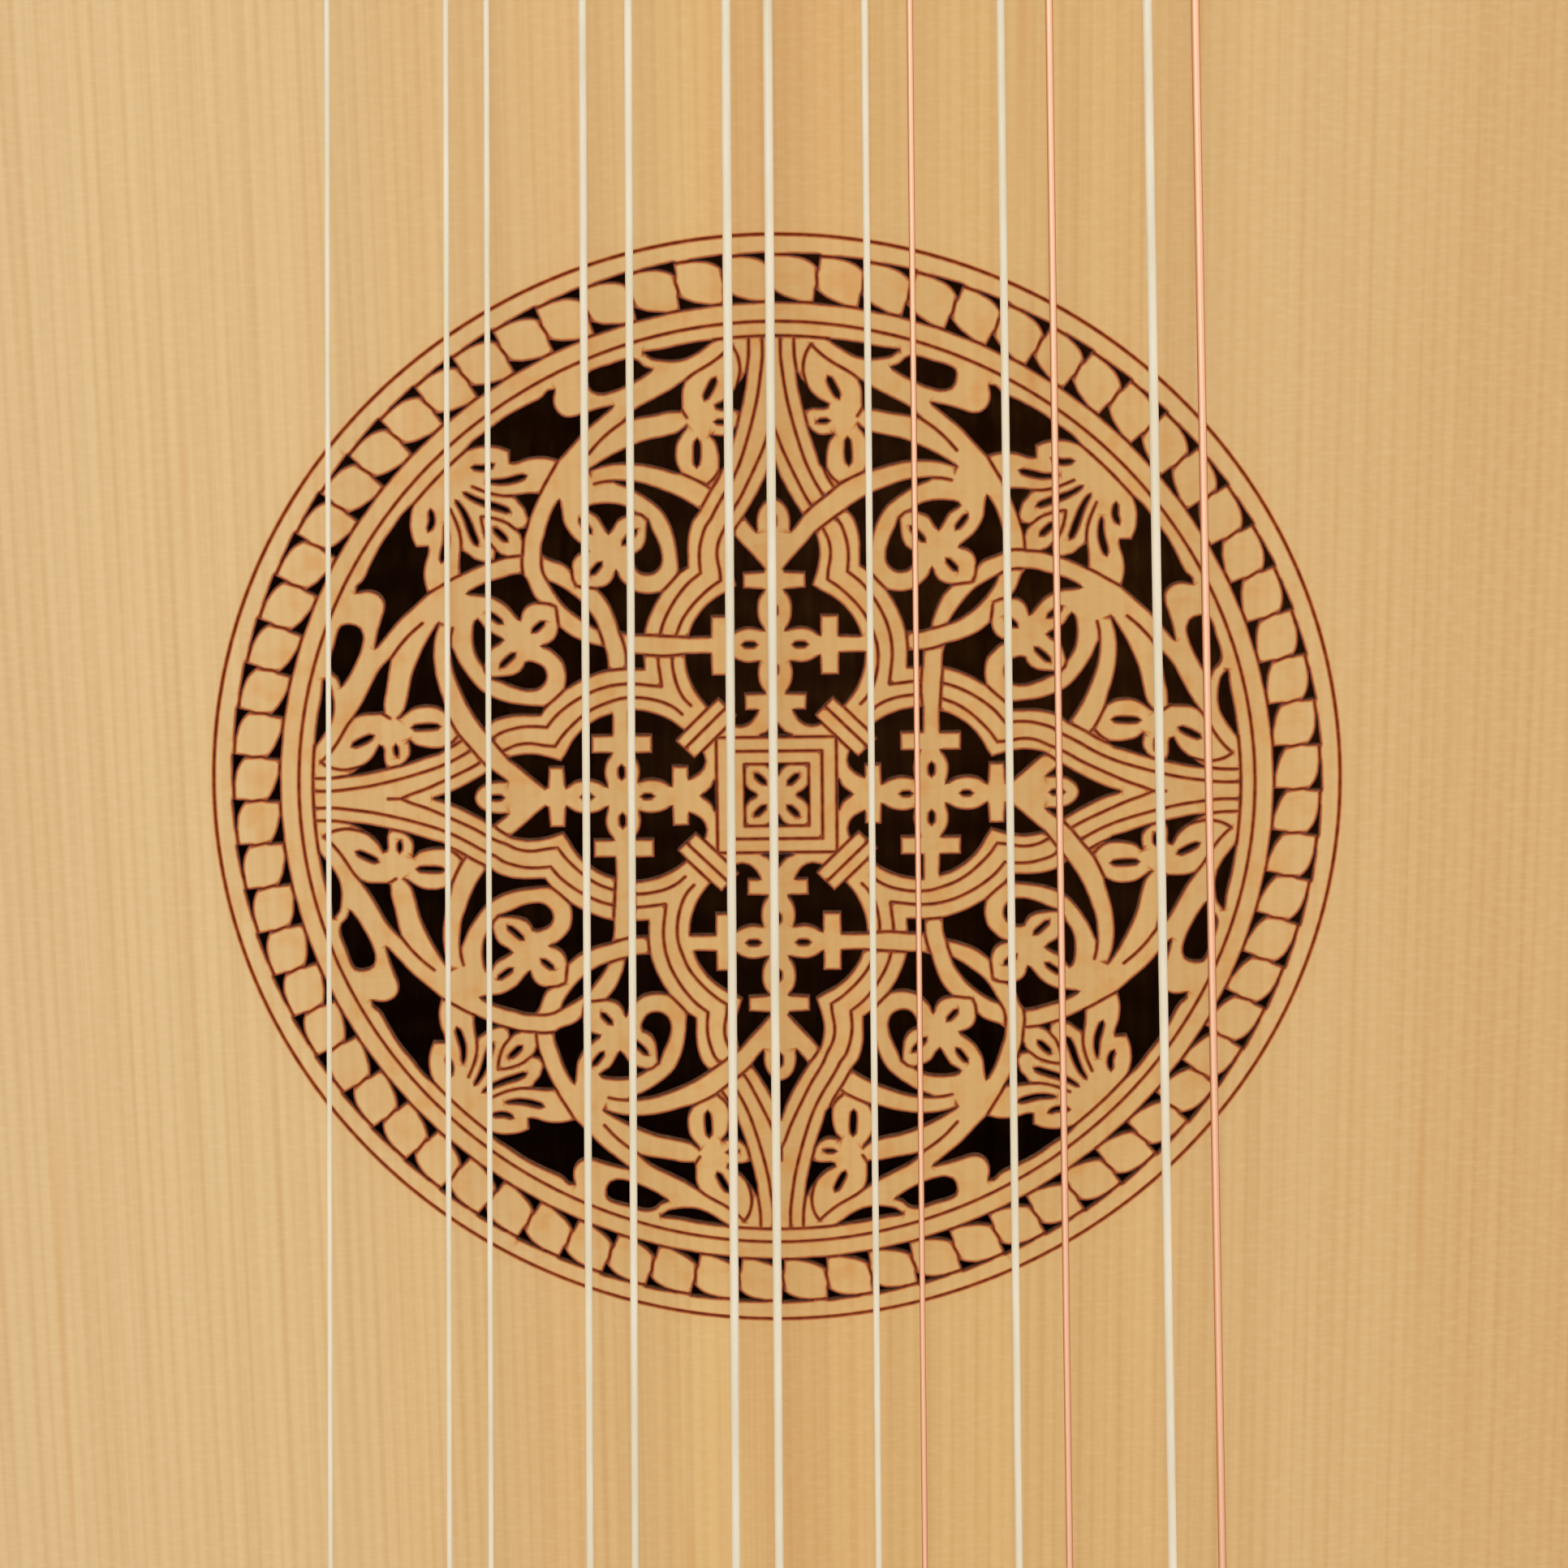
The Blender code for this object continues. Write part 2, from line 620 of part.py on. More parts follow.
def peg_profile(index):
    """Turned outline along the peg's axis, from its tip down to the collar under the head."""
    side = peg_side(index)
    half = pegbox_half_width(peg_s(index))
    wound = winding_x(index) * side * -1
    tip = half + PEG_PROUD
    collar = -half - COLLAR_GAP

    def radius_at(height):
        return shaft_radius(index, -side * height)

    low = wound - WINDING_HALF
    high = wound + WINDING_HALF
    return [
        (0.0, tip), (radius_at(tip) - 0.5 * MM, tip), (radius_at(tip), tip - 1 * MM),
        (radius_at(high), high + 0.4 * MM), (radius_at(high) + WINDING_RADIUS, high),
        (radius_at(low) + WINDING_RADIUS, low), (radius_at(low), low - 0.4 * MM),
        (radius_at(collar), collar), (5.6 * MM, collar - 0.8 * MM), (5.6 * MM, collar - 2.4 * MM),
        (3.4 * MM, collar - 4.0 * MM), (3.4 * MM, collar - 9.0 * MM), (0.0, collar - 9.0 * MM),
    ]


def peg_head_mesh(index):
    """Flat grip, widest across the shaft, on the end of the turned part."""
    middle = -pegbox_half_width(peg_s(index)) - COLLAR_GAP - 13.5 * MM
    shape = bmesh.new()
    bmesh.ops.create_uvsphere(shape, u_segments=12, v_segments=6, radius=1.0)
    bmesh.ops.scale(shape, vec=(10.0 * MM, 3.6 * MM, 9.0 * MM), verts=shape.verts)
    bmesh.ops.translate(shape, vec=(0.0, 0.0, middle), verts=shape.verts)
    mesh = bpy.data.meshes.new("peg_head")
    shape.to_mesh(mesh)
    shape.free()
    return mesh


def build_pegs():
    """Each peg's local Z is its turning axis, pointing from the head to the tip."""
    for index in range(PEG_COUNT):
        side = peg_side(index)
        toward_tip = Vector((-side, 0.0, 0.0))
        across = PEGBOX_ALONG.copy()
        matrix = axes_matrix(across, toward_tip.cross(across), toward_tip,
                             pegbox_point(0.0, peg_s(index), -PEG_SINK))
        name = "peg_%02d" % (index + 1)
        peg = add_part(name, profile_mesh(name, peg_profile(index)), "plum", matrix)
        add_screw(peg, 10)
        head = add_cutter("%s_grip" % name, peg_head_mesh(index), matrix)
        add_boolean(peg, head, "UNION")


def build_strap_button():
    """Turned button whose base is cut to the bowl's curve."""
    profile = [(0.0, 13.0), (5.4, 13.0), (5.4, 9.5), (3.4, 7.6), (3.4, 5.2), (6.6, 3.6), (7.0, 2.2), (5.6, 0.0),
               (0.0, 0.0)]
    button = add_part("strap_button", profile_mesh("strap_button", [(r * MM, z * MM) for r, z in profile]), "ebony")
    add_screw(button, 20)
    shape = bmesh.new()
    bmesh.ops.create_uvsphere(shape, u_segments=96, v_segments=64, radius=1.0)
    grow = OVERHANG + GAP
    size = (HALF_WIDTH + grow, DEPTH + grow, WIDEST_Z - BOTTOM_Z + grow)
    bmesh.ops.scale(shape, vec=size, verts=shape.verts)
    mesh = bpy.data.meshes.new("bowl_curve")
    shape.to_mesh(mesh)
    shape.free()
    curve = add_cutter("bowl_curve", mesh, Matrix.Translation((0.0, BOWL_Y, WIDEST_Z)))
    add_boolean(button, curve, "DIFFERENCE")


build_ribs()
build_end_clasp()
build_blocks()
build_bars()
build_soundboard()
build_bridge()
build_neck()
build_nut()
build_frets()
build_cheeks()
build_pegbox_back()
build_pegbox_end()
build_strings()
build_pegs()
build_strap_button()
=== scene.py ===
# %% [markdown]
# # A seven-course lute
# The imported solids are the frame of the work. Those named below are each replaced by a finer piece
# that rides on the same body. Everything is in metres, +Z runs up the neck and the soundboard
# faces -Y.

# %% The frame
import math

import bmesh
import bpy
from mathutils import Matrix, Vector
from mathutils.bvhtree import BVHTree
from mathutils.geometry import delaunay_2d_cdt
from mathutils.kdtree import KDTree


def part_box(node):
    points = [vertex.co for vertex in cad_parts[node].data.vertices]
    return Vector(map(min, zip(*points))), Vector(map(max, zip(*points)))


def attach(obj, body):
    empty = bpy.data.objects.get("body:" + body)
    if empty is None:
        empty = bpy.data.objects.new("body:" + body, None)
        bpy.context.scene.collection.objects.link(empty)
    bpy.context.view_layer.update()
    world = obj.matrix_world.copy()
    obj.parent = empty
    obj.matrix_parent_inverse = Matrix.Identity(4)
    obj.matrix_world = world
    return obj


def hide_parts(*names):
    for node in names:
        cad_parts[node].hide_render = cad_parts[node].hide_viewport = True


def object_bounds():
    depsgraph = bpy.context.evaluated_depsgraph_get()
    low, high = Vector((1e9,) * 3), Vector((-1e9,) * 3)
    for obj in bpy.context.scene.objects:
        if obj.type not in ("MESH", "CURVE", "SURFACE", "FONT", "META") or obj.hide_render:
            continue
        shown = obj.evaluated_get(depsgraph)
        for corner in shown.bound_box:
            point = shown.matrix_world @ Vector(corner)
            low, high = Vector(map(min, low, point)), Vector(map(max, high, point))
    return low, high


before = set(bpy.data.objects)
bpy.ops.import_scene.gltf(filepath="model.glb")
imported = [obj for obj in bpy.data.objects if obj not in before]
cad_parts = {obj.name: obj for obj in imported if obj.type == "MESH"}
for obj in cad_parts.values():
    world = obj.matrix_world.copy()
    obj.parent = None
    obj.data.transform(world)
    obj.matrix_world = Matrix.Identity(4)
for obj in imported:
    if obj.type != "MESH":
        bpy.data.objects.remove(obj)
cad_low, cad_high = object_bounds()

MM = 0.001

# %% [markdown]
# The lute's own measures come first, because the finer pieces follow the same curves as the solids.
# They could be read back from each solid's corners, but a curve is cleaner when it is worked out
# again from the few numbers that drive it. The front of the soundboard is read from its solid.

# %% The lute's driving sizes
GAP = 0.3 * MM                      # between neighbouring solids
FACE_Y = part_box("soundboard")[0].y
BOARD_THICK = 1.8 * MM
BOWL_Y = FACE_Y + BOARD_THICK + GAP
OVERHANG = 1.3 * MM
WIDEST_Z, BOTTOM_Z, JOINT_Z = 172 * MM, 12 * MM, 457 * MM
HALF_WIDTH, DEPTH = 155 * MM, 147 * MM
NECK_HALF_WIDTH, JOINT_DEPTH = 38.5 * MM, 28 * MM
NECK_TOP_Z, NECK_TOP_HALF_WIDTH, NECK_TOP_DEPTH = 682.5 * MM, 31 * MM, 20 * MM
FINGERBOARD_THICK = 3 * MM
RIB_COUNT, RIB_THICK = 9, 1.6 * MM
ROSE_Z = 252 * MM
BRIDGE_FRONT_Z, STRING_LENGTH = 82 * MM, 600 * MM
NUT_Z = BRIDGE_FRONT_Z + STRING_LENGTH
BRIDGE_STRING_HEIGHT, NUT_STRING_HEIGHT = 7.5 * MM, 1.6 * MM
# Across the strings in mm: the middle of each course, the gap in each pair, each string's thickness.
COURSES_AT_BRIDGE = (-48.6, -33.9, -18.8, -3.4, 11.9, 27.1, 43.5)
COURSES_AT_NUT = (-26.9, -17.4, -8.5, 0.5, 9.4, 17.8, 26.4)
PAIR_GAPS_AT_BRIDGE = (0.0, 4.4, 4.7, 4.6, 4.9, 5.4, 5.3)
PAIR_GAPS_AT_NUT = (0.0, 2.6, 3.3, 2.6, 2.9, 2.9, 2.9)
STRING_DIAMETERS = (0.5, 0.54, 0.54, 0.74, 0.74, 0.87, 0.87, 0.64, 0.6, 0.74, 0.72, 0.87, 0.82)
WOUND_STRINGS = (8, 10, 12)         # counted from 0 at the first course
STRING_COUNT = len(STRING_DIAMETERS)
PEGBOX_BEND = math.radians(85)
PEGBOX_ORIGIN = Vector((0, -6.7 * MM, 683 * MM))
PEGBOX_ALONG = Vector((0, math.sin(PEGBOX_BEND), math.cos(PEGBOX_BEND)))
PEGBOX_UP = Vector((0, -math.cos(PEGBOX_BEND), math.sin(PEGBOX_BEND)))
PEGBOX_LENGTH, PEGBOX_HALF_WIDTH, PEGBOX_END_HALF_WIDTH = 200 * MM, 30 * MM, 21 * MM
CHEEK_THICK = 4.5 * MM
PEG_FIRST_S, PEG_PITCH, PEG_SINK = 22 * MM, 13.2 * MM, 9 * MM
PEG_HEAD_RADIUS, PEG_TIP_RADIUS = 4.0 * MM, 3.1 * MM
print("soundboard face at y = %.1f mm" % (FACE_Y / MM))


# %% [markdown]
# A bmesh is turned into a finished piece in the same few steps each time, so they are one helper:
# the mesh becomes an object at the origin, gets its finishes, rides on its body and hides the solids
# it stands for. Smooth shading with sharp edges kept by angle suits turned and bent wood alike.

# %% Helper: finish a piece
def add_piece(name, shape, finishes, body, slot, replaced=(), sharp=35):
    mesh = bpy.data.meshes.new(name)
    shape.to_mesh(mesh)
    shape.free()
    for finish in finishes:
        mesh.materials.append(finish)
    mesh.shade_smooth()
    mesh.set_sharp_from_angle(angle=math.radians(sharp))
    piece = bpy.data.objects.new(name, mesh)
    bpy.context.scene.collection.objects.link(piece)
    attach(piece, body)
    if replaced:
        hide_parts(*replaced)
    return piece


def node_copy(node):
    """A merged copy of a solid's mesh, with its flat faces whole again."""
    shape = bmesh.new()
    shape.from_mesh(bpy.data.objects[node].data)
    bmesh.ops.remove_doubles(shape, verts=shape.verts, dist=0.002 * MM)
    bmesh.ops.dissolve_limit(shape, angle_limit=math.radians(1), verts=shape.verts, edges=shape.edges)
    return shape


def round_edges(shape, width, segments=2, angle=30):
    edges = [e for e in shape.edges if e.is_manifold and e.calc_face_angle() > math.radians(angle)]
    bmesh.ops.bevel(shape, geom=edges, offset=width, offset_type="OFFSET", segments=segments,
                    profile=0.5, affect="EDGES", clamp_overlap=True, material=-1)


def cut_away(piece, cutter):
    """Takes a closed bmesh out of a piece and keeps the result in its mesh."""
    mesh = bpy.data.meshes.new("cutter")
    cutter.to_mesh(mesh)
    cutter.free()
    tool = bpy.data.objects.new("cutter", mesh)
    bpy.context.scene.collection.objects.link(tool)
    cut = piece.modifiers.new("cut", "BOOLEAN")
    cut.operation, cut.solver, cut.object = "DIFFERENCE", "EXACT", tool
    bpy.context.view_layer.update()
    done = bpy.data.meshes.new_from_object(piece.evaluated_get(bpy.context.evaluated_depsgraph_get()))
    piece.modifiers.clear()
    piece.data = done
    bpy.data.objects.remove(tool, do_unlink=True)


def axes_matrix(x_axis, y_axis, z_axis, origin):
    return Matrix.Translation(origin) @ Matrix((x_axis, y_axis, z_axis)).transposed().to_4x4()


# %% [markdown]
# A material is a tree of nodes. One helper adds a node of any kind, sets its properties and fills its
# inputs with plain values or with other nodes' outputs. Colours are written as the hex values that a
# paint chart would give and turned to linear light here.

# %% Helper: materials
def linear(code):
    channels = [int(code[i:i + 2], 16) / 255 for i in (1, 3, 5)]
    return tuple(c / 12.92 if c <= 0.04045 else ((c + 0.055) / 1.055) ** 2.4 for c in channels) + (1.0,)


def add_node(tree, kind, inputs=(), **settings):
    node = tree.nodes.new("ShaderNode" + kind)
    for name, value in settings.items():
        setattr(node, name, value)
    for name, value in dict(inputs).items():
        if isinstance(value, bpy.types.NodeSocket):
            tree.links.new(value, node.inputs[name])
        else:
            node.inputs[name].default_value = value
    return node


def set_ramp(node, stops):
    """Colour stops of a ramp: (place, hex colour), in order."""
    marks = node.color_ramp.elements
    while len(marks) < len(stops):
        marks.new(0.5)
    for mark, (place, code) in zip(marks, stops):
        mark.position = place
        mark.color = linear(code)
    return node.outputs["Color"]


def new_material(name):
    material = bpy.data.materials.new(name)
    material.use_nodes = True
    tree = material.node_tree
    return material, tree, tree.nodes["Principled BSDF"]


# %% [markdown]
# The soundboard is quarter-sawn spruce, bare or thinly sealed. The saw cuts across the yearly rings,
# so they show as fine straight lines along the board, pale early wood between narrow darker late
# wood. Short flecks of silk lie across them. The lines could be a wave texture alone, but real years
# differ, so a wave is bent by noise that is stretched along the grain and mixed with a second noise
# for wide and narrow years. The ground tone changes slowly across the board. Where the rose was cut,
# the wood is scorched: a "burn" attribute on the mesh holds how close each point is to a cut, and a
# ramp turns it from tan through red brown to char.

# %% Material: spruce soundboard
RING_SPACING = 1.25 * MM            # one year's growth
WAVE_TURN = math.tau / 20           # a wave texture makes 20 radians a unit
TONE_REACH = 80 * MM                # the tones below run from this far left to this far right
TONES = [(0.0, "#D4B483"), (0.20, "#D8B885"), (0.34, "#D8B37D"), (0.46, "#DBB67A"), (0.51, "#D7AB70"),
         (0.57, "#D8B276"), (0.70, "#D7B277"), (0.82, "#D3AF79"), (1.0, "#CCA46C")]


def make_spruce():
    material, tree, shader = new_material("quarter_sawn_spruce")
    place = add_node(tree, "TexCoord").outputs["Object"]
    # Tone across the board: each place is shifted a little by noise, so that the bands waver.
    wide = add_node(tree, "Mapping", {"Vector": place, "Scale": (1, 1, 0.1)}).outputs["Vector"]
    shift = add_node(tree, "TexNoise", {"Vector": wide, "Scale": 1 / (14 * MM), "Detail": 3.0})
    right = add_node(tree, "SeparateXYZ", {"Vector": place}).outputs["X"]
    share = add_node(tree, "MapRange", {"Value": right, "From Min": -TONE_REACH, "From Max": TONE_REACH,
                                        "To Min": -0.07, "To Max": 0.93})
    shifted = add_node(tree, "Math", {0: shift.outputs["Fac"], 1: 0.14, 2: share.outputs["Result"]},
                       operation="MULTIPLY_ADD")
    tone = set_ramp(add_node(tree, "ValToRGB", {"Fac": shifted.outputs[0]}), TONES)
    # Yearly lines, and fainter streaks between them.
    grain = add_node(tree, "Mapping", {"Vector": place, "Scale": (1, 1, 0.012)}).outputs["Vector"]
    years = add_node(tree, "TexWave", {"Vector": grain, "Scale": WAVE_TURN / RING_SPACING,
                                       "Distortion": 4.5, "Detail": 2.0, "Detail Scale": 0.5})
    lines = add_node(tree, "MapRange", {"Value": years.outputs["Fac"], "From Min": 0.4, "From Max": 1.0,
                                        "To Max": 0.17})
    uneven = add_node(tree, "TexNoise", {"Vector": grain, "Scale": 1 / (1.1 * MM), "Detail": 4.0,
                                         "Roughness": 0.65})
    streaks = add_node(tree, "MapRange", {"Value": uneven.outputs["Fac"], "From Min": 0.4,
                                          "From Max": 0.8, "To Max": 0.36})
    late_wood = add_node(tree, "Math", {0: lines.outputs["Result"], 1: streaks.outputs["Result"]},
                         operation="ADD")
    grained = add_node(tree, "Mix", {"Factor": late_wood.outputs[0], "A": tone,
                                     "B": linear("#BE8D52")}, data_type="RGBA")
    # Silk: short flecks across the grain.
    across = add_node(tree, "Mapping", {"Vector": place, "Scale": (0.35, 1, 1)}).outputs["Vector"]
    silk = add_node(tree, "TexNoise", {"Vector": across, "Scale": 1 / (0.5 * MM), "Detail": 3.0})
    silk_share = add_node(tree, "MapRange", {"Value": silk.outputs["Fac"], "From Min": 0.45,
                                             "From Max": 0.75, "To Max": 0.20})
    silky = add_node(tree, "Mix", {"Factor": silk_share.outputs["Result"], "A": grained.outputs["Result"],
                                   "B": linear("#E8CB9C")}, data_type="RGBA")
    # Smoke from the scorched cuts has browned the whole rose a little.
    away = add_node(tree, "VectorMath", {0: place, 1: (0, FACE_Y, ROSE_Z)}, operation="DISTANCE")
    smoke = add_node(tree, "MapRange", {"Value": away.outputs["Value"], "From Min": 56 * MM,
                                        "From Max": 48 * MM, "To Max": 1.0})
    light_smoke = add_node(tree, "Math", {0: smoke.outputs["Result"], 1: 0.45}, operation="MULTIPLY")
    smoked = add_node(tree, "Mix", {"Factor": light_smoke.outputs[0], "A": silky.outputs["Result"],
                                    "B": linear("#CB9C5A")}, data_type="RGBA")
    patches = add_node(tree, "TexNoise", {"Vector": place, "Scale": 1 / (3 * MM), "Detail": 3.0})
    patch_share = add_node(tree, "MapRange", {"Value": patches.outputs["Fac"], "From Min": 0.50,
                                              "From Max": 0.70, "To Max": 0.55})
    toasted = add_node(tree, "Math", {0: patch_share.outputs["Result"], 1: smoke.outputs["Result"]},
                       operation="MULTIPLY")
    patchy = add_node(tree, "Mix", {"Factor": toasted.outputs[0], "A": smoked.outputs["Result"],
                                    "B": linear("#CE8B3E")}, data_type="RGBA")
    # A few thin orange resin streaks.
    resin_place = add_node(tree, "Mapping", {"Vector": place, "Scale": (1, 1, 0.05)}).outputs["Vector"]
    resin = add_node(tree, "TexNoise", {"Vector": resin_place, "Scale": 1 / (3.2 * MM), "Detail": 1.0})
    resin_share = add_node(tree, "MapRange", {"Value": resin.outputs["Fac"], "From Min": 0.72,
                                              "From Max": 0.84, "To Max": 0.4})
    streaked = add_node(tree, "Mix", {"Factor": resin_share.outputs["Result"],
                                      "A": patchy.outputs["Result"], "B": linear("#C4823C")},
                        data_type="RGBA")
    # Scorching beside the cuts, a little uneven as the tool slowed and sped up.
    burn = add_node(tree, "Attribute", attribute_name="burn")
    waver = add_node(tree, "TexNoise", {"Vector": place, "Scale": 1 / (0.9 * MM), "Detail": 2.0})
    waver_share = add_node(tree, "MapRange", {"Value": waver.outputs["Fac"], "From Min": 0.25,
                                              "From Max": 0.75, "To Min": 0.80, "To Max": 1.12})
    scorch = add_node(tree, "Math", {0: burn.outputs["Fac"], 1: waver_share.outputs["Result"]},
                      operation="MULTIPLY")
    char = set_ramp(add_node(tree, "ValToRGB", {"Fac": scorch.outputs[0]}),
                    [(0.0, "#D4A466"), (0.30, "#C27F3A"), (0.55, "#A44E18"), (0.80, "#742906"),
                     (1.0, "#361304")])
    cover = add_node(tree, "MapRange", {"Value": scorch.outputs[0], "From Min": 0.02, "From Max": 0.38})
    colour = add_node(tree, "Mix", {"Factor": cover.outputs["Result"], "A": streaked.outputs["Result"],
                                    "B": char}, data_type="RGBA")
    rise = add_node(tree, "Bump", {"Height": late_wood.outputs[0], "Strength": 0.2,
                                   "Distance": 0.03 * MM})
    tree.links.new(colour.outputs["Result"], shader.inputs["Base Color"])
    tree.links.new(rise.outputs["Normal"], shader.inputs["Normal"])
    shader.inputs["Roughness"].default_value = 0.55
    shader.inputs["Specular IOR Level"].default_value = 0.35
    return material


def make_scorched_wall():
    """The cut walls of the rose: brown, darker in streaks where the cut slowed."""
    material, tree, shader = new_material("scorched_spruce_wall")
    place = add_node(tree, "TexCoord").outputs["Object"]
    streaks = add_node(tree, "TexNoise", {"Vector": place, "Scale": 1 / (0.5 * MM), "Detail": 3.0})
    colour = set_ramp(add_node(tree, "ValToRGB", {"Fac": streaks.outputs["Fac"]}),
                      [(0.30, "#9A6A42"), (0.60, "#7A4A2A"), (0.80, "#4E2A16")])
    tree.links.new(colour, shader.inputs["Base Color"])
    shader.inputs["Roughness"].default_value = 0.75
    return material


SPRUCE = make_spruce()
SCORCHED_WALL = make_scorched_wall()
print("made", SPRUCE.name, "and", SCORCHED_WALL.name)


# %% [markdown]
# The other woods differ in colour, in how strongly their grain and figure show, and in their finish.
# They could each be drawn by hand, but they share one build: grain stretched along the wood, fine
# pores, and curl, which is light caught by fibres that wave, in bands across the grain. One function
# makes them from a few facts each. Varnished maple gets a clear coat; ebony and pear are only waxed.

# %% Material: the other woods
def make_wood(name, pale, dark, along, grain=2.0 * MM, curl=0.0, curl_spacing=7 * MM, pores=0.3,
              roughness=0.45, coat=0.0):
    """`along` is how much the pattern is stretched on x, y and z; a small number is along the grain."""
    material, tree, shader = new_material(name)
    place = add_node(tree, "TexCoord").outputs["Object"]
    stretched = add_node(tree, "Mapping", {"Vector": place, "Scale": along}).outputs["Vector"]
    rings = add_node(tree, "TexNoise", {"Vector": stretched, "Scale": 1 / grain, "Detail": 5.0,
                                        "Roughness": 0.6, "Distortion": 0.4})
    wood = set_ramp(add_node(tree, "ValToRGB", {"Fac": rings.outputs["Fac"]}), [(0.30, pale), (0.72, dark)])
    fine = add_node(tree, "TexNoise", {"Vector": stretched, "Scale": 6 / grain, "Detail": 2.0})
    pore_share = add_node(tree, "MapRange", {"Value": fine.outputs["Fac"], "From Min": 0.55,
                                             "From Max": 0.75, "To Max": pores})
    pored = add_node(tree, "Mix", {"Factor": pore_share.outputs["Result"], "A": wood,
                                   "B": linear(dark)}, data_type="RGBA")
    colour = pored.outputs["Result"]
    if curl:
        turned = add_node(tree, "Mapping", {"Vector": place, "Scale": (0.25, 0.25, 1.0)}).outputs["Vector"]
        waves = add_node(tree, "TexWave", {"Vector": turned, "Scale": WAVE_TURN / curl_spacing,
                                           "Distortion": 6.0, "Detail": 3.0, "Detail Scale": 1.2},
                         bands_direction="Z")
        curl_share = add_node(tree, "Math", {0: waves.outputs["Fac"], 1: curl}, operation="MULTIPLY")
        curled = add_node(tree, "Mix", {"Factor": curl_share.outputs[0], "A": colour,
                                        "B": linear(dark)}, data_type="RGBA")
        colour = curled.outputs["Result"]
    rise = add_node(tree, "Bump", {"Height": fine.outputs["Fac"], "Strength": 0.2, "Distance": 0.05 * MM})
    tree.links.new(colour, shader.inputs["Base Color"])
    tree.links.new(rise.outputs["Normal"], shader.inputs["Normal"])
    shader.inputs["Roughness"].default_value = roughness
    shader.inputs["Coat Weight"].default_value = coat
    shader.inputs["Coat Roughness"].default_value = 0.12
    return material


UPRIGHT, SIDEWAYS, BACKWARDS = (1, 1, 0.04), (0.04, 1, 1), (1, 0.04, 1)
MAPLE = make_wood("varnished_curly_maple", "#B9793A", "#7A4318", UPRIGHT, curl=0.55, pores=0.15,
                  roughness=0.35, coat=0.6)
PEGBOX_MAPLE = make_wood("varnished_maple_pegbox", "#9C5F2B", "#5E3113", BACKWARDS, pores=0.25,
                         roughness=0.35, coat=0.5)
BLACK_LINE = make_wood("black_dyed_maple_line", "#2B1E17", "#120C09", UPRIGHT, grain=1.0 * MM,
                       roughness=0.4, coat=0.4)
PEAR = make_wood("stained_pear", "#54301F", "#2A150C", SIDEWAYS, grain=1.2 * MM, pores=0.4, roughness=0.4)
EBONY = make_wood("oiled_ebony", "#2B211C", "#0F0B09", UPRIGHT, grain=1.1 * MM, pores=0.6, roughness=0.34)
PLUM = make_wood("turned_plum", "#8A4A2E", "#4A2115", SIDEWAYS, grain=1.4 * MM, pores=0.35,
                 roughness=0.32, coat=0.25)
SOFTWOOD = make_wood("bare_softwood", "#D9B380", "#AE7F49", UPRIGHT, grain=1.6 * MM, pores=0.2,
                     roughness=0.7)
BAR_WOOD = make_wood("bare_softwood_bars", "#D9B380", "#AE7F49", SIDEWAYS, grain=1.6 * MM, pores=0.2,
                     roughness=0.7)
WOODS = (MAPLE, PEGBOX_MAPLE, BLACK_LINE, PEAR, EBONY, PLUM, SOFTWOOD, BAR_WOOD)
print("woods:", ", ".join(wood.name for wood in WOODS))


# %% [markdown]
# Gut is a twisted and polished cord: cream, slightly cloudy, with light soaking a little way in. Its
# twist is fainter than anything that shows, so a mottle along the string stands for it. Copper winding
# is bare metal; its colour is painted by how it faces the eye: pinkish in the middle, a painted
# highlight, and deeper red where it turns away, painted shade. Bone is pale with faint darker streaks.

# %% Material: gut, copper and bone
def make_gut(name, pale, dark, roughness):
    material, tree, shader = new_material(name)
    place = add_node(tree, "TexCoord").outputs["Object"]
    long = add_node(tree, "Mapping", {"Vector": place, "Scale": (1, 1, 0.15)}).outputs["Vector"]
    mottle = add_node(tree, "TexNoise", {"Vector": long, "Scale": 1 / (1.5 * MM), "Detail": 3.0})
    colour = set_ramp(add_node(tree, "ValToRGB", {"Fac": mottle.outputs["Fac"]}),
                      [(0.3, pale), (0.75, dark)])
    tree.links.new(colour, shader.inputs["Base Color"])
    shader.inputs["Roughness"].default_value = roughness
    shader.inputs["Subsurface Weight"].default_value = 0.15
    shader.inputs["Subsurface Radius"].default_value = (0.4 * MM, 0.3 * MM, 0.2 * MM)
    shader.inputs["Subsurface Scale"].default_value = 1.0
    return material


def make_copper():
    material, tree, shader = new_material("fine_copper_winding")
    place = add_node(tree, "TexCoord").outputs["Object"]
    tarnish = add_node(tree, "TexNoise", {"Vector": place, "Scale": 1 / (4 * MM), "Detail": 4.0})
    # Painted light: by how squarely the wire faces the eye, a pale painted highlight on its middle and
    # painted shade towards its edges.
    painted_light_by_facing = add_node(tree, "LayerWeight", {"Blend": 0.5}).outputs["Facing"]
    colour = set_ramp(add_node(tree, "ValToRGB", {"Fac": painted_light_by_facing}),
                      [(0.0, "#F9CDAF"), (0.45, "#F2B996"), (0.85, "#C07048")])
    dull = add_node(tree, "MapRange", {"Value": tarnish.outputs["Fac"], "To Min": 0.50, "To Max": 0.62})
    tree.links.new(colour, shader.inputs["Base Color"])
    tree.links.new(dull.outputs["Result"], shader.inputs["Roughness"])
    shader.inputs["Metallic"].default_value = 1.0
    return material


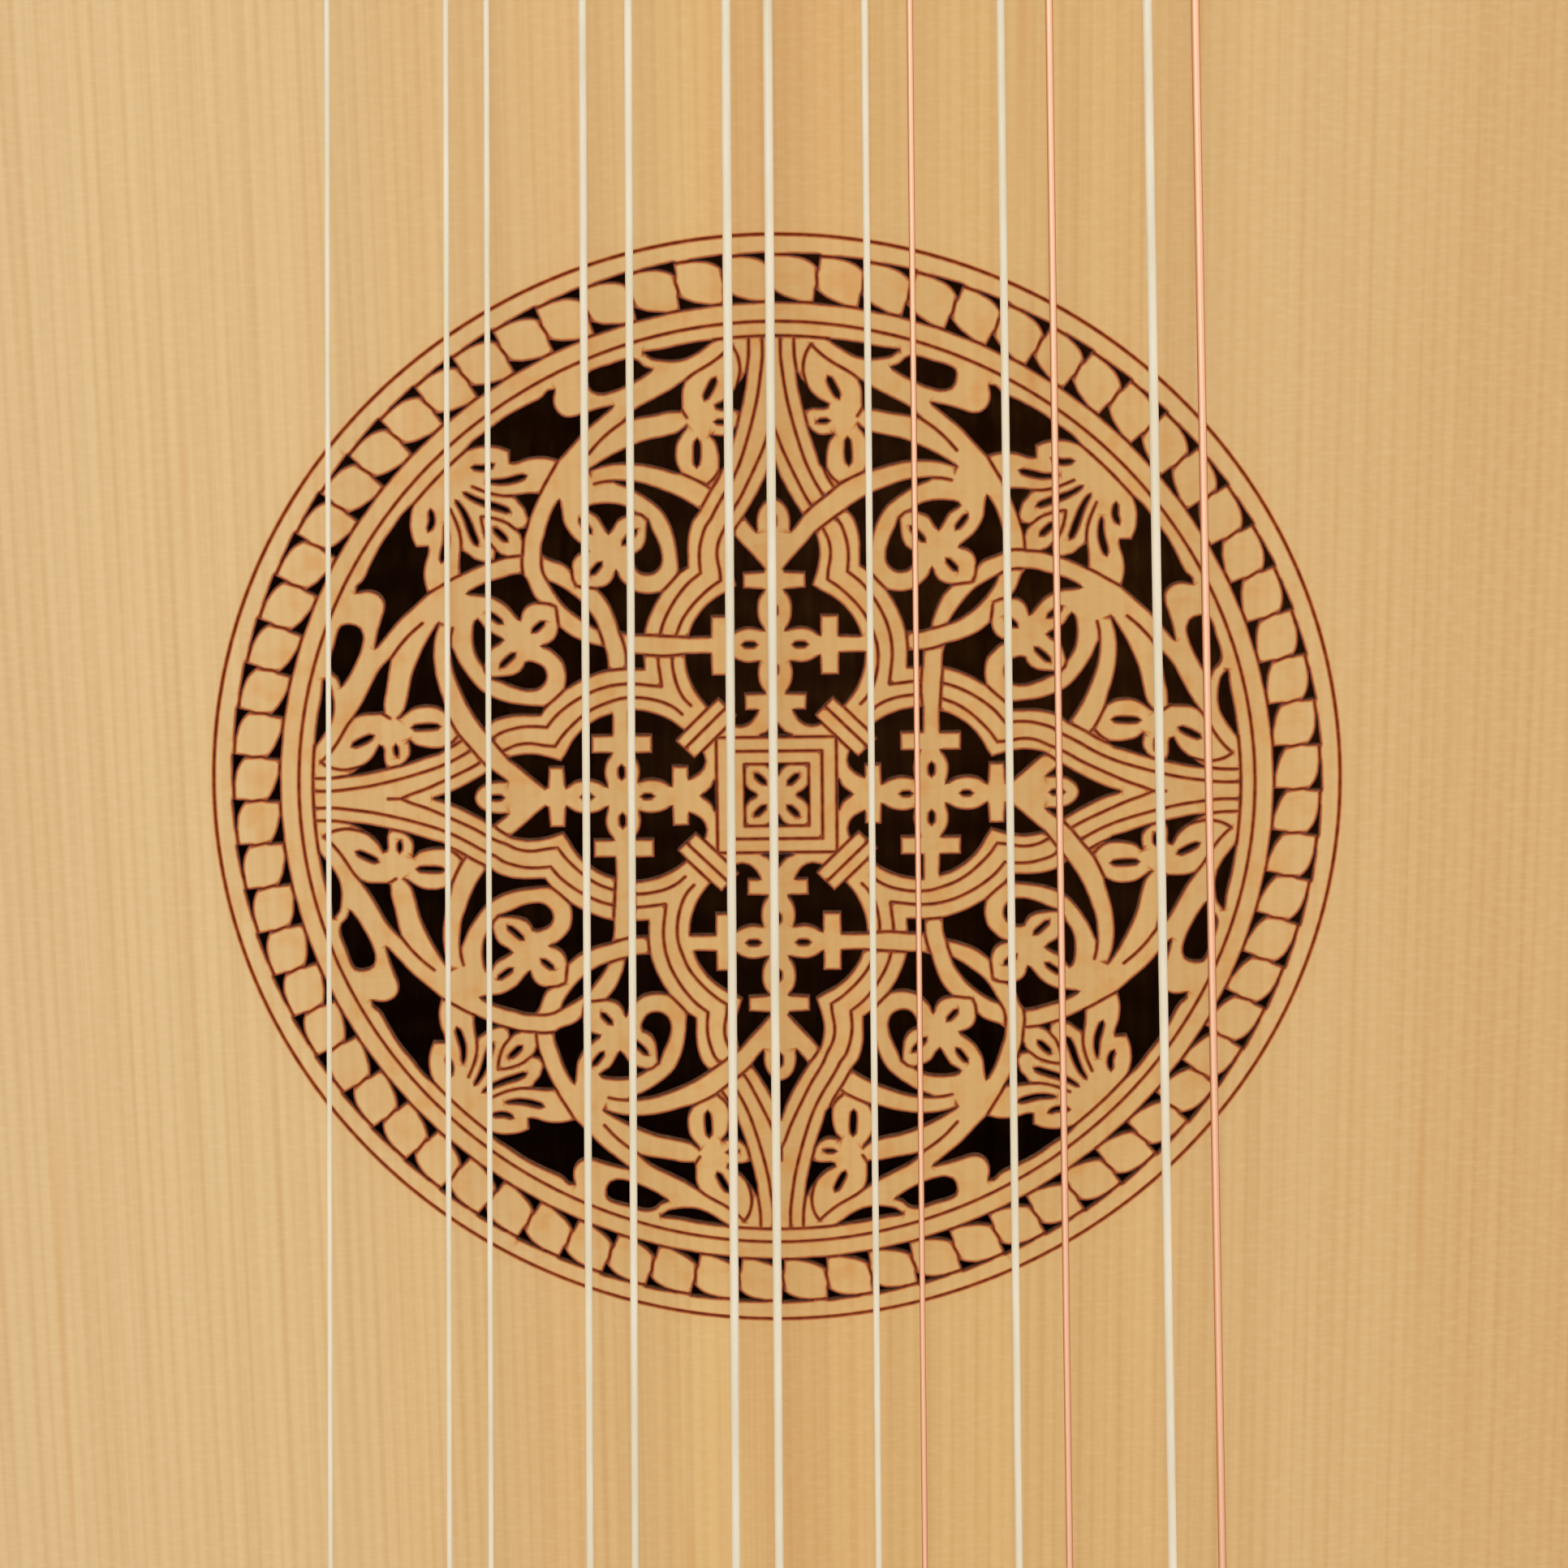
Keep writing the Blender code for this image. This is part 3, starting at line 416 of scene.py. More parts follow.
def make_bone():
    material, tree, shader = new_material("polished_bone")
    place = add_node(tree, "TexCoord").outputs["Object"]
    long = add_node(tree, "Mapping", {"Vector": place, "Scale": (0.1, 1, 1)}).outputs["Vector"]
    streaks = add_node(tree, "TexNoise", {"Vector": long, "Scale": 1 / (0.8 * MM), "Detail": 3.0})
    colour = set_ramp(add_node(tree, "ValToRGB", {"Fac": streaks.outputs["Fac"]}),
                      [(0.35, "#EDE3C9"), (0.75, "#D2C19B")])
    tree.links.new(colour, shader.inputs["Base Color"])
    shader.inputs["Roughness"].default_value = 0.3
    return material


GUT = make_gut("polished_string_gut", "#E4DBC6", "#D8CDB2", 0.35)
FRET_GUT = make_gut("twisted_fret_gut", "#DCC48E", "#B99A62", 0.45)
COPPER = make_copper()
BONE = make_bone()
print("made", GUT.name, COPPER.name, BONE.name)


# %% [markdown]
# ## The rose
# A lute's rose is cut through the soundboard itself, so board and rose are one piece. Its lines are
# drawn here once, for an eighth of the circle, in millimetres from the rose's centre, right and up.
# Each line is a short text of points that a smooth curve passes through; a star marks a sharp corner.
# A spline object could hold them, but text keeps each shape on a line or two. The curve through the
# points is a chord-length Catmull-Rom, which stays close to the points and doesn't loop where they
# are unevenly spaced.

# %% Reading and smoothing a line
LINE_STEP = 0.45                    # mm between samples of a line
SLIT_STEP = 0.3
CLOSED_UP = 0.01                    # mm, a slit narrower than twice this is one point


def read_line(text):
    points = []
    for word in text.split(","):
        right, up = word.replace("*", " ").split()
        points.append((Vector((float(right), float(up))), "*" in word))
    return points


def heading(before, here, after, span):
    """Direction of the curve at a point that it passes smoothly, as long as the span beside it."""
    back, fore = (here - before).length, (after - here).length
    slope = (here - before) * (fore / back) + (after - here) * (back / fore)
    return slope * (span / (back + fore))


def cubic(here, there, leave, arrive, t):
    """The curve from `here` to `there` that leaves and arrives in the given directions."""
    return (here * (2 * t ** 3 - 3 * t ** 2 + 1) + leave * (t ** 3 - 2 * t ** 2 + t)
            + there * (3 * t ** 2 - 2 * t ** 3) + arrive * (t ** 3 - t ** 2))


def smooth(points, closed=False, step=LINE_STEP):
    count = len(points)
    line = []
    for i in range(count if closed else count - 1):
        here, here_sharp = points[i]
        there, there_sharp = points[(i + 1) % count]
        reach = there - here
        leave = arrive = reach
        if not here_sharp and (closed or i > 0):
            leave = heading(points[i - 1][0], here, there, reach.length)
        if not there_sharp and (closed or i < count - 2):
            arrive = heading(here, there, points[(i + 2) % count][0], reach.length)
        parts = max(1, round(reach.length / step))
        line += [cubic(here, there, leave, arrive, k / parts) for k in range(parts)]
    if not closed:
        line.append(points[-1][0].copy())
    return line


def slit(text, first, last, fullness=2.5):
    """A narrow opening along a line, `first` wide at its start and `last` at its end, round ended."""
    line = smooth(read_line(text), step=SLIT_STEP)
    left, right = [], []
    for i, point in enumerate(line):
        t = i / (len(line) - 1)
        ahead = (line[min(i + 1, len(line) - 1)] - line[max(i - 1, 0)]).normalized()
        half = (first + (last - first) * t) / 2 * (1 - abs(2 * t - 1) ** fullness) ** (1 / fullness)
        side = Vector((-ahead.y, ahead.x)) * half
        if half < CLOSED_UP:
            left.append(point)
        else:
            left.append(point + side)
            right.append(point - side)
    return left + right[::-1]


def quarter_turns(line):
    turned = [line]
    for _ in range(3):
        turned.append([Vector((-p.y, p.x)) for p in turned[-1]])
    return turned


def swapped(line):
    """The line mirrored over the diagonal."""
    return [Vector((p.y, p.x)) for p in line]


def mirrored_closed(text):
    """A closed outline whose right half is given from its top to its bottom, both on the axis."""
    right = read_line(text)
    left = [(Vector((-p.x, p.y)), sharp) for p, sharp in right[-2:0:-1]]
    return smooth(right + left, closed=True)


# %% [markdown]
# The openings. Those on the upright axis or on the diagonal are turned to the four quarters; the
# others are also mirrored over the diagonal, which makes eight. The ring of 72 small openings round the
# edge follows one formula, a twisted-rope pattern.

# %% The openings
AXIS_OPENINGS = [
    # petal base, inner star point, and the point of the middle cross
    smooth(read_line("-1.5 5.95*, 1.5 5.95*, 0.8 6.25, 0.35 6.75, 0 7.25, -0.35 6.75, -0.8 6.25"), True),
    smooth(read_line("-1 3.05*, 1 3.05*, 0.45 2.6, 0.15 2.05, 0 1.95, -0.15 2.05, -0.45 2.6"), True),
    mirrored_closed("0 33*, 0.5 31.5, 1.1 30.2, 1.8 28.9, 2.75 27.35*, 2.3 26.7, 1.6 25.85*, 1.62 27,"
                    "1.3 28.1, 0.7 28.8, 0 29.05"),
    slit("0 11.8, 0 13", 0.45, 0.45), slit("0 17.6, 0 18.8", 0.45, 0.45), slit("0 26.2, 0 27.6", 0.45, 0.45),
    # on the diagonal
    slit("1.05 1, 2.15 2.1", 0.5, 0.5), slit("25.15 25.15, 26.45 26.4", 0.5, 0.5),
    smooth(read_line("16.5 16.75*, 17.2 17.9, 17.8 18.7, 18.7 19.8, 19.8 20.6, 20.5 21, 21.2 21.4*,"
                     "20.9 20.6, 20.4 19.8, 19.7 18.9, 18.9 18.1, 18 17.45, 17.2 17"), True),
    smooth(read_line("12.6 12.5*, 14 12.6*, 14.05 14.15*, 12.65 14.1*"), True),
]
CROSS_OPENINGS = [
    "1.7 8.42*, 2.95 8.42*, 3 10.05*, 1 10.1*, 1.4 10.7, 1.68 11.6, 1.68 12.5, 1.5 13.2*, 2.5 13.05,"
    "3.5 13.3, 4.25 13.75*, 4.3 11.85*, 6.1 11.85*, 6.15 14*, 8.55 14*, 8.4 12.6, 8 11.2, 7.4 10,"
    "6.6 8.95*, 6.4 8.75*, 5.45 9.65*, 3.72 7.86*, 4.35 7.1*, 3.9 6.95, 3.4 6.85, 2.8 7, 2.2 7.5",
    "1 16.25*, 1.5 17.1, 1.7 18.2, 1.5 19.4, 0.95 20.2*, 3 20.35*, 3 21.85*, 1 22*, 0.9 22.2*, 2 23.5,"
    "3 24.6, 3.9 25.7*, 4.1 25, 4.25 24, 4.2 23, 4 22, 3.7 21.1, 3.55 20.6*, 4.3 20.1, 5.4 19.5, 6.5 18.6,"
    "7.3 17.6, 7.9 16.5, 8.15 15.65*, 6.1 15.7*, 6.1 17.7*, 4.3 17.7*, 4.3 15.75*, 3.6 16.25, 2.9 16.5,"
    "2 16.5",
]
RIM_OPENINGS = [
    "2.35 41.1*, 2.8 40.3, 3.2 39.8, 3.6 39.2, 4.3 38.5, 5.3 37.95*, 5.2 37.7, 4.4 37.6, 3.8 37.6,"
    "3 37.35*, 2.75 38.5, 2.5 39.7",
    "3.3 36*, 3.75 35.4, 4.3 35.05, 5.8 35.1*, 5.35 34.6, 5.05 33.6, 4.95 32.4, 5 31.8*, 4.72 31.95,"
    "4.2 33.3, 3.7 34.75",
    "8.15 40.3*, 9.5 39.4, 11 38.6, 12.8 37.6, 13.9 36.6*, 12.8 36.85, 11 37.15, 9.5 37.45, 8.6 37.45*,"
    "8.5 38, 8.5 39, 8.4 39.7",
    "5.4 44.1*, 7 43.9, 8.5 43.65, 10 43.3, 11.9 43.05*, 11.2 42.5, 10.2 42.3, 9 42.25, 8 42.45, 7 42.95,"
    "6.2 43.5",
    "11.2 41.4*, 12 41.7, 12.5 42.2, 13.2 42.4, 14.2 42.2, 15.2 41.85, 16.4 41.5, 17.1 41.1, 17.2 40.3,"
    "16.8 39.4, 16.2 39.2, 14.8 39.45, 13.3 40.1, 12.2 40.7",
    "8 36*, 8.8 35.4, 10.2 35, 12 34.6, 14 33.8, 16 32.75, 17.3 31.9*, 16 32.35, 14.5 32.55, 12.5 32.45,"
    "10.8 32.1, 9.3 31.65, 8.6 31.5*, 9.05 32.3, 9.2 33.3, 9.05 34.4, 8.6 35.2",
    "14.9 38*, 16.1 37.75, 17.6 37.3, 18.7 36.95, 19.4 36.95, 20.1 37.4, 20.5 38.2, 20.5 39, 20.35 39.6*,"
    "20.9 39.5, 21.4 38.95, 23 38.1, 25 37, 26.7 35.75, 28 34.8, 28.8 33.95*, 27.9 34.25, 26.5 34.35,"
    "25.3 34.1, 24.65 33.8*, 24.7 32.7*, 24.3 32.7, 23 33.1, 21.5 33.2, 20.15 32.9*, 19 34.15, 17.6 35.7,"
    "16.2 36.9",
]
VINE_OPENINGS = [
    "6.9 27.95*, 8 28.7, 9.5 29.5, 11 30.1, 12.5 30.6, 14 30.8, 15 30.85*, 14.5 30.6, 13.5 30.2,"
    "12.5 29.6, 11.5 28.9, 10.6 28.1, 10 27.2, 9.6 26.3, 9.25 25, 9.05 23.5, 8.95 22.1*, 8.2 22.5*,"
    "8.2 23.5, 8.2 24.8, 8.05 25.8, 7.7 26.9",
    "13 27.75*, 13.6 28.15, 14.4 28.5, 15.5 28.65, 16.6 28.6, 17.4 28.4, 17.6 28.2, 17.3 27.95, 16.6 27.5,"
    "16.1 26.7, 15.6 25.85*, 15.2 26.3, 14.8 27, 14.2 27.4, 13.6 27.6",
    "11.85 27.1*, 11.6 26.3, 11.1 25.2, 10.75 24.2, 10.65 23.2, 10.85 22.5, 11.4 22, 12.1 21.85,"
    "12.8 22.1, 13.2 22.7, 13.4 23.4, 13.3 23.75, 12.9 23.9, 12.4 24.3, 12.1 24.9, 11.95 25.8",
    "20.15 29.1*, 20.65 28.3, 21.2 27, 21.55 25.8, 21.9 24.6, 21.95 23.85*, 21.4 23.45, 20.4 23.1,"
    "19.7 22.75, 19.2 22.3*, 19.1 23.1, 18.7 23.7, 18.1 24.05, 17.5 24.2*, 18.1 24.7, 18.9 25.35,"
    "19.5 26.2, 19.9 27.1, 20 28.1",
    "12.5 15.95*, 14 16.05, 14.75 16.25*, 14.95 17.1, 15.25 18, 15.9 19.4, 16.8 20.5*, 16.2 20.6,"
    "15.5 21, 15.15 21.5, 14.95 22.2*, 14.7 21.5, 14.1 20.8, 13.3 20.15, 12.4 19.9, 11.4 19.9,"
    "10.7 20.05*, 11.4 18.9, 12 17.6, 12.35 16.6",
    "22 29.65*, 22.8 29.7, 24.3 29.55*, 23.9 28.9, 23.4 28.3, 23.2 27.7, 23.05 27.3*, 22.6 28.4",
    "23.35 26.4*, 24.2 26.25*, 23.85 25.8, 23.7 25.3*",
]
LEAF_SLITS = [
    ("1.7 14.85, 3.1 14.85", 0.5, 0.5),
    ("5.25 40.6, 6.3 38.5", 0.55, 0.55), ("4.2 36.35, 5.4 36.4", 0.35, 0.35),
    ("7.05 34.8, 7.15 32.1", 0.55, 0.55), ("12.9 26.2, 14.3 24.7", 0.45, 0.45),
    ("17.2 25.85, 18.3 27.3", 0.45, 0.45), ("16.3 23.05, 17.35 21.85", 0.45, 0.45),
    ("24.8 28, 25.8 28.4, 27 28.8, 28.2 29.3, 29.15 29.9", 0.65, 0.3),
    ("23.2 31.45, 24.2 31.15, 25.4 30.9, 26.9 30.95", 0.65, 0.3),
    ("26.2 32.6, 27 32.25, 28.3 32.3", 0.45, 0.45),
]


def polar(radius, degrees):
    turn = math.radians(degrees)
    return Vector((radius * math.cos(turn), radius * math.sin(turn)))


BEAD_COUNT = 72


def rope_openings():
    """Two openings at each bead of the rope, one against its outer line and one against its inner."""
    outer = ((52.15, 3.3, 1), (52.25, -0.05, 1), (51.0, 0.0, 1), (51.35, 0.45, 0), (51.7, 1.1, 0),
             (51.95, 1.9, 0), (52.05, 2.6, 0))
    inner = ((47.7, 0.15, 1), (48.95, 0.1, 1), (48.6, -0.5, 0), (48.25, -1.2, 0), (48.0, -2.0, 0),
             (47.8, -2.8, 0), (47.7, -3.3, 1))
    openings = []
    for bead in range(BEAD_COUNT):
        start = 360 / BEAD_COUNT * bead
        for corners in (outer, inner):
            points = [(polar(r, start + a), bool(sharp)) for r, a, sharp in corners]
            openings.append(smooth(points, True))
    return openings


def all_openings():
    openings = rope_openings()
    for line in AXIS_OPENINGS:
        openings += quarter_turns(line)
    eighths = [smooth(read_line(text), True) for text in CROSS_OPENINGS + RIM_OPENINGS + VINE_OPENINGS]
    eighths += [slit(*given) for given in LEAF_SLITS]
    for line in eighths:
        openings += quarter_turns(line) + quarter_turns(swapped(line))
    return openings


OPENINGS = all_openings()
print("openings in the rose:", len(OPENINGS))

# %% [markdown]
# The engraved lines. They draw the ribbons' edges, the leaves and the frame of the middle square. The
# rose looks woven only because one ribbon's lines run on over a crossing and the other's stop, so the
# lines at each crossing are listed apart: the "over" ones as they are, the "under" ones for the
# mirrored half of the pattern.

# %% The engraved lines
SQUARES = (3.08, 4.37, 5.75)        # half sizes of the middle frame
CIRCLES = (54.0, 52.1, 47.7, 45.85)
RIM_RADIUS = 44.5
BEAD_BOW = ((51.0, 0), (50.4, 0.12), (49.5, -0.02), (48.95, 0.1))      # radius and degrees
QUARTER_LINES = [
    "4.2 7.3, 7.3 4.2", "4.7 8.75, 8.75 4.7", "6.35 8.8, 8.8 6.35", "0 37.3, 0 36.1",
    # ribbons over the branches and over each other
    "2.75 27.35, 3.7 28.25, 4.9 29.2, 5.8 29.95", "3.9 25.7, 4.65 26.3, 5.9 27.25, 6.9 27.95",
    "14.75 16.25, 15.5 16.4, 16.5 16.75", "14.05 14.15, 15 14.35, 16.25 14.75",
    "12.65 14.1, 12.5 15.95", "9.8 13.9, 9.7 14.8, 9.4 15.8", "11.15 13.9, 11.1 14.8, 10.95 15.8",
    "14 12.6, 13.85 10.5, 14 8.55", "15.95 12.5, 15.8 10.5, 15.65 8.15",
    "21.95 23.75, 22.8 23.85, 23.75 23.8", "21.2 21.4, 21.9 21.8, 22.9 22, 23.85 21.95",
]
UNDER_LINES = [
    "2.75 27.35, 3.4 26.5, 3.9 25.7", "3.65 28.2, 4.2 27.2, 4.65 26.1", "4.8 29.15, 5.4 28.1, 5.9 27.1",
    "5.8 29.95, 6.4 28.9, 6.9 27.95",
]
EIGHTH_LINES = [
    # ribbons of the petals
    "0 36.1, 0.4 35.2, 0.9 33.8, 1.65 32.1, 2.6 30.1, 3.1 29.1, 3.65 28.2",
    "0.85 44.4, 0.85 42.6, 1.05 40.8, 1.35 38.8, 1.8 36.8, 2.4 34.6, 3.2 32.2, 4 30.5, 4.8 29.15",
    "2.1 44.45, 2.15 42.5, 2.35 41.1", "3 37.35, 3.3 36", "4.8 31.8, 5.15 31, 5.8 29.95",
    "8.1 8.95, 8.7 9.6, 9.2 10.5, 9.6 11.8, 9.78 13, 9.8 13.9",
    "9.4 15.8, 8.8 17.3, 8 18.5, 7 19.6, 6 20.5, 5.05 21.15*, 5.15 22.2, 5.35 23.3, 5.35 24.2, 5.1 25.2,"
    "4.65 26.1",
    "10.85 10.9, 11 12.2, 11.1 13, 11.15 13.9",
    "10.95 15.8, 10.6 17, 9.9 18.5, 9 19.9, 8 21.05, 6.95 21.9*, 7.05 23.2, 7 24.3, 6.75 25.4, 6.4 26.4,"
    "5.9 27.1",
    # leaves and stems at the rim
    "8.15 40.3, 7.5 40.85, 6.6 41.4, 5.6 42, 4.5 42.85, 3.7 43.65*, 3.25 42.9, 3 42, 2.95 41.2, 3.1 40.4,"
    "3.3 39.7",
    "8.5 37.7, 8.3 37.3, 8 36.85", "13.9 36.55, 15.2 35.6, 16.3 34.6, 17.3 33.45",
    "5 31.9, 5.25 31.4, 5.75 30.8, 6.3 30.35",
    # vine and flower
    "5.8 29.95, 6.3 30.35, 7.2 30.85, 8.6 31.5", "15 30.85, 15.9 30.8, 16.8 30.6",
    "8.2 22.5, 8.9 22, 9.7 21.1, 10.7 20.05", "13 27.75, 12.4 27.55, 11.9 27.1",
    "16.8 20.5, 18 20.65, 18.8 20.8, 19.05 21.4, 19.15 22.4",
    "20.15 32.9, 20.95 31.5, 21.6 30.4, 22 29.6", "23 27.4, 23.3 26.4, 23.6 25.4, 23.7 24.5, 23.75 23.8",
    "24.3 29.55, 25.5 29.55, 26.8 29.85, 28.3 30.45",
    "23.75 26.15, 24.4 26.35, 25 26.85, 25.9 27.25, 26.9 27.5, 27.55 27.55",
]


def arc(radius, start, end):
    parts = max(2, round(math.radians(end - start) * radius / LINE_STEP))
    return [polar(radius, start + (end - start) * i / parts) for i in range(parts + 1)]


def all_grooves():
    grooves = [arc(radius, 0, 360) for radius in CIRCLES]
    for middle, reach in ((90, 7), (45, 4.7)):
        grooves += quarter_turns(arc(RIM_RADIUS, middle - reach, middle + reach))
    for half in SQUARES:
        side = smooth([(Vector((-half, half)), True), (Vector((half, half)), True)])
        grooves += quarter_turns(side)
    for bead in range(BEAD_COUNT):
        start = 360 / BEAD_COUNT * bead
        bow = [(polar(r, start + a), False) for r, a in BEAD_BOW]
        grooves.append(smooth(bow))
    for text in QUARTER_LINES:
        grooves += quarter_turns(smooth(read_line(text)))
    for text in UNDER_LINES:
        grooves += quarter_turns(swapped(smooth(read_line(text))))
    for text in EIGHTH_LINES:
        line = smooth(read_line(text))
        grooves += quarter_turns(line) + quarter_turns(swapped(line))
    return grooves


GROOVES = all_grooves()
print("engraved lines:", len(GROOVES))


# %% [markdown]
# The board could be a flat curve with holes, as a plain solid is, but then no vertex would lie beside
# the cuts to carry the scorching, and no groove could be pressed in. So the outlines and engraved
# lines go into a constrained triangulation, with rows of loose points beside each line at the width of
# a groove and of its scorching. No mesh operator does this. The triangles inside an opening are left
# out, the rest is the face of the board, its open edges are extruded through the board's thickness,
# and the back is closed by a second, plainer triangulation of the same edges. A luthier thins the
# board from behind where the rose is to be cut, so the back is stepped in there.

# %% Points of the board
GROOVE_HALF = 0.13                  # mm from a groove's middle to its edge
GROOVE_DEPTH = 0.12
EDGE_ROWS = (0.16, 0.38)            # mm, rows of points beside an opening
GROOVE_ROWS = (GROOVE_HALF, 0.34)   # mm, rows beside an engraved line
ROW_SPACE = 0.10                    # loose points are at least this far apart
EDGE_CLEAR, GROOVE_CLEAR = 0.09, 0.95 * GROOVE_HALF     # mm, loose points keep off the lines
FAN = (-90, -45, 0, 45, 90)         # degrees, loose points round a line's end
FIELD_START, FIELD_STEP = 58.0, 7.0  # mm, loose points over the plain board
FIELD_REACH = 250                   # mm up and down from the rose's centre
FIELD_END_MARGIN, FIELD_SIDE_MARGIN = 4 * MM, 3         # metres along z, mm across
SEARCH_STEP = 0.1                   # mm between the points of a search tree
ROSE_THICK = 0.75 * MM
THINNED_TO, WHOLE_FROM = 55.5, 60.0  # mm from the rose's centre, behind the board


def side_arc(z, half, end, inset=0.0):
    rise, drop = JOINT_Z - WIDEST_Z, half - end
    radius = (rise * rise + drop * drop) / (2 * drop)
    return half - radius + math.sqrt((radius - inset) ** 2 - (z - WIDEST_Z) ** 2)


def board_outline(parts=60):
    """Right half of the board's edge from the neck to the bottom, then the left half back up, in mm."""
    right = [(NECK_HALF_WIDTH, JOINT_Z)]
    for i in range(1, parts + 1):
        z = JOINT_Z + (WIDEST_Z - JOINT_Z) * i / parts
        right.append((side_arc(z, HALF_WIDTH, NECK_HALF_WIDTH, -OVERHANG), z))
    for i in range(1, parts):
        turn = math.radians(90) * i / parts
        x = (HALF_WIDTH + OVERHANG) * math.cos(turn)
        right.append((x, WIDEST_Z - (WIDEST_Z - BOTTOM_Z + OVERHANG) * math.sin(turn)))
    bottom = [(0.0, BOTTOM_Z - OVERHANG)]
    left = [(-x, z) for x, z in reversed(right)]
    return [Vector((x / MM, (z - ROSE_Z) / MM)) for x, z in right + bottom + left]


def nearness(lines, closed):
    """A search tree over closely spaced points along the lines."""
    places = []
    for line in lines:
        ends = line[1:] + line[:1] if closed else line[1:]
        for start, end in zip(line, ends):
            parts = max(1, round((end - start).length / SEARCH_STEP))
            places += [start.lerp(end, k / parts) for k in range(parts)]
        places.append(line[-1])
    tree = KDTree(len(places))
    for i, place in enumerate(places):
        tree.insert((place.x, place.y, 0), i)
    tree.balance()
    return tree


EDGE_TREE = nearness(OPENINGS, True)
GROOVE_TREE = nearness(GROOVES, False)


def distance(tree, place):
    return tree.find((place.x, place.y, 0))[2]


def loose_points(outline):
    """Rows of points beside every opening and groove, and a wide field over the plain board."""
    taken, loose = set(), []

    def offer(place):
        cell = (round(place.x / ROW_SPACE), round(place.y / ROW_SPACE))
        if cell not in taken:
            taken.add(cell)
            loose.append(place)

    def clear(place):
        return distance(EDGE_TREE, place) > EDGE_CLEAR and distance(GROOVE_TREE, place) > GROOVE_CLEAR

    for lines, closed, rows in ((GROOVES, False, GROOVE_ROWS), (OPENINGS, True, EDGE_ROWS)):
        for line in lines:
            count = len(line)
            for i, place in enumerate(line):
                after = line[(i + 1) % count] if closed else line[min(i + 1, count - 1)]
                before = line[i - 1] if closed or i else line[0]
                ahead = (after - before).normalized()
                for row in rows:
                    for side in (-row, row):
                        spot = place + Vector((-ahead.y, ahead.x)) * side
                        if clear(spot):
                            offer(spot)
            if not closed:
                for end, ahead in ((line[0], line[0] - line[1]), (line[-1], line[-1] - line[-2])):
                    for row in rows:
                        for turn in FAN:
                            spot = end + Matrix.Rotation(math.radians(turn), 2) @ ahead.normalized() * row
                            if clear(spot):
                                offer(spot)
    right = HALF_WIDTH / MM
    columns, rows = int(right / FIELD_STEP), int(FIELD_REACH / FIELD_STEP)
    for i in range(-columns, columns + 1):
        for j in range(-rows, rows + 1):
            spot = Vector(((i + 0.5 * (j % 2)) * FIELD_STEP, j * FIELD_STEP))
            z = spot.y * MM + ROSE_Z
            on_board = BOTTOM_Z + FIELD_END_MARGIN < z < JOINT_Z - FIELD_END_MARGIN
            if on_board and spot.length > FIELD_START:
                if z > WIDEST_Z:
                    half = side_arc(z, HALF_WIDTH, NECK_HALF_WIDTH) / MM
                else:
                    half = right * math.sqrt(max(0, 1 - ((WIDEST_Z - z) / (WIDEST_Z - BOTTOM_Z)) ** 2))
                if abs(spot.x) < half - FIELD_SIDE_MARGIN:
                    loose.append(spot)
    return loose


# %% The board's mesh
ON_AN_EDGE = 0.02                   # mm, a groove ends this close to an opening
BURN_FADE, GROOVE_BURN = 1.2, 0.92
BACK_FINISH, WALL_FINISH = 1, 2     # places in the board's list of finishes


def scorching(place):
    beside_edge = max(0.0, 1 - distance(EDGE_TREE, place) / EDGE_ROWS[1]) ** BURN_FADE
    beside_groove = GROOVE_BURN * max(0.0, 1 - distance(GROOVE_TREE, place) / GROOVE_ROWS[1])
    return max(beside_edge, beside_groove)


def anticlockwise(line):
    """The triangulation only fills an outline that runs anticlockwise."""
    area = sum(a.x * b.y - b.x * a.y for a, b in zip(line, line[1:] + line[:1]))
    return line if area > 0 else line[::-1]


def back_of_board(place):
    """The board is thinned from behind under the rose, and slopes back to its whole thickness."""
    share = (place.length - THINNED_TO) / (WHOLE_FROM - THINNED_TO)
    return FACE_Y + ROSE_THICK + (BOARD_THICK - ROSE_THICK) * min(1.0, max(0.0, share))


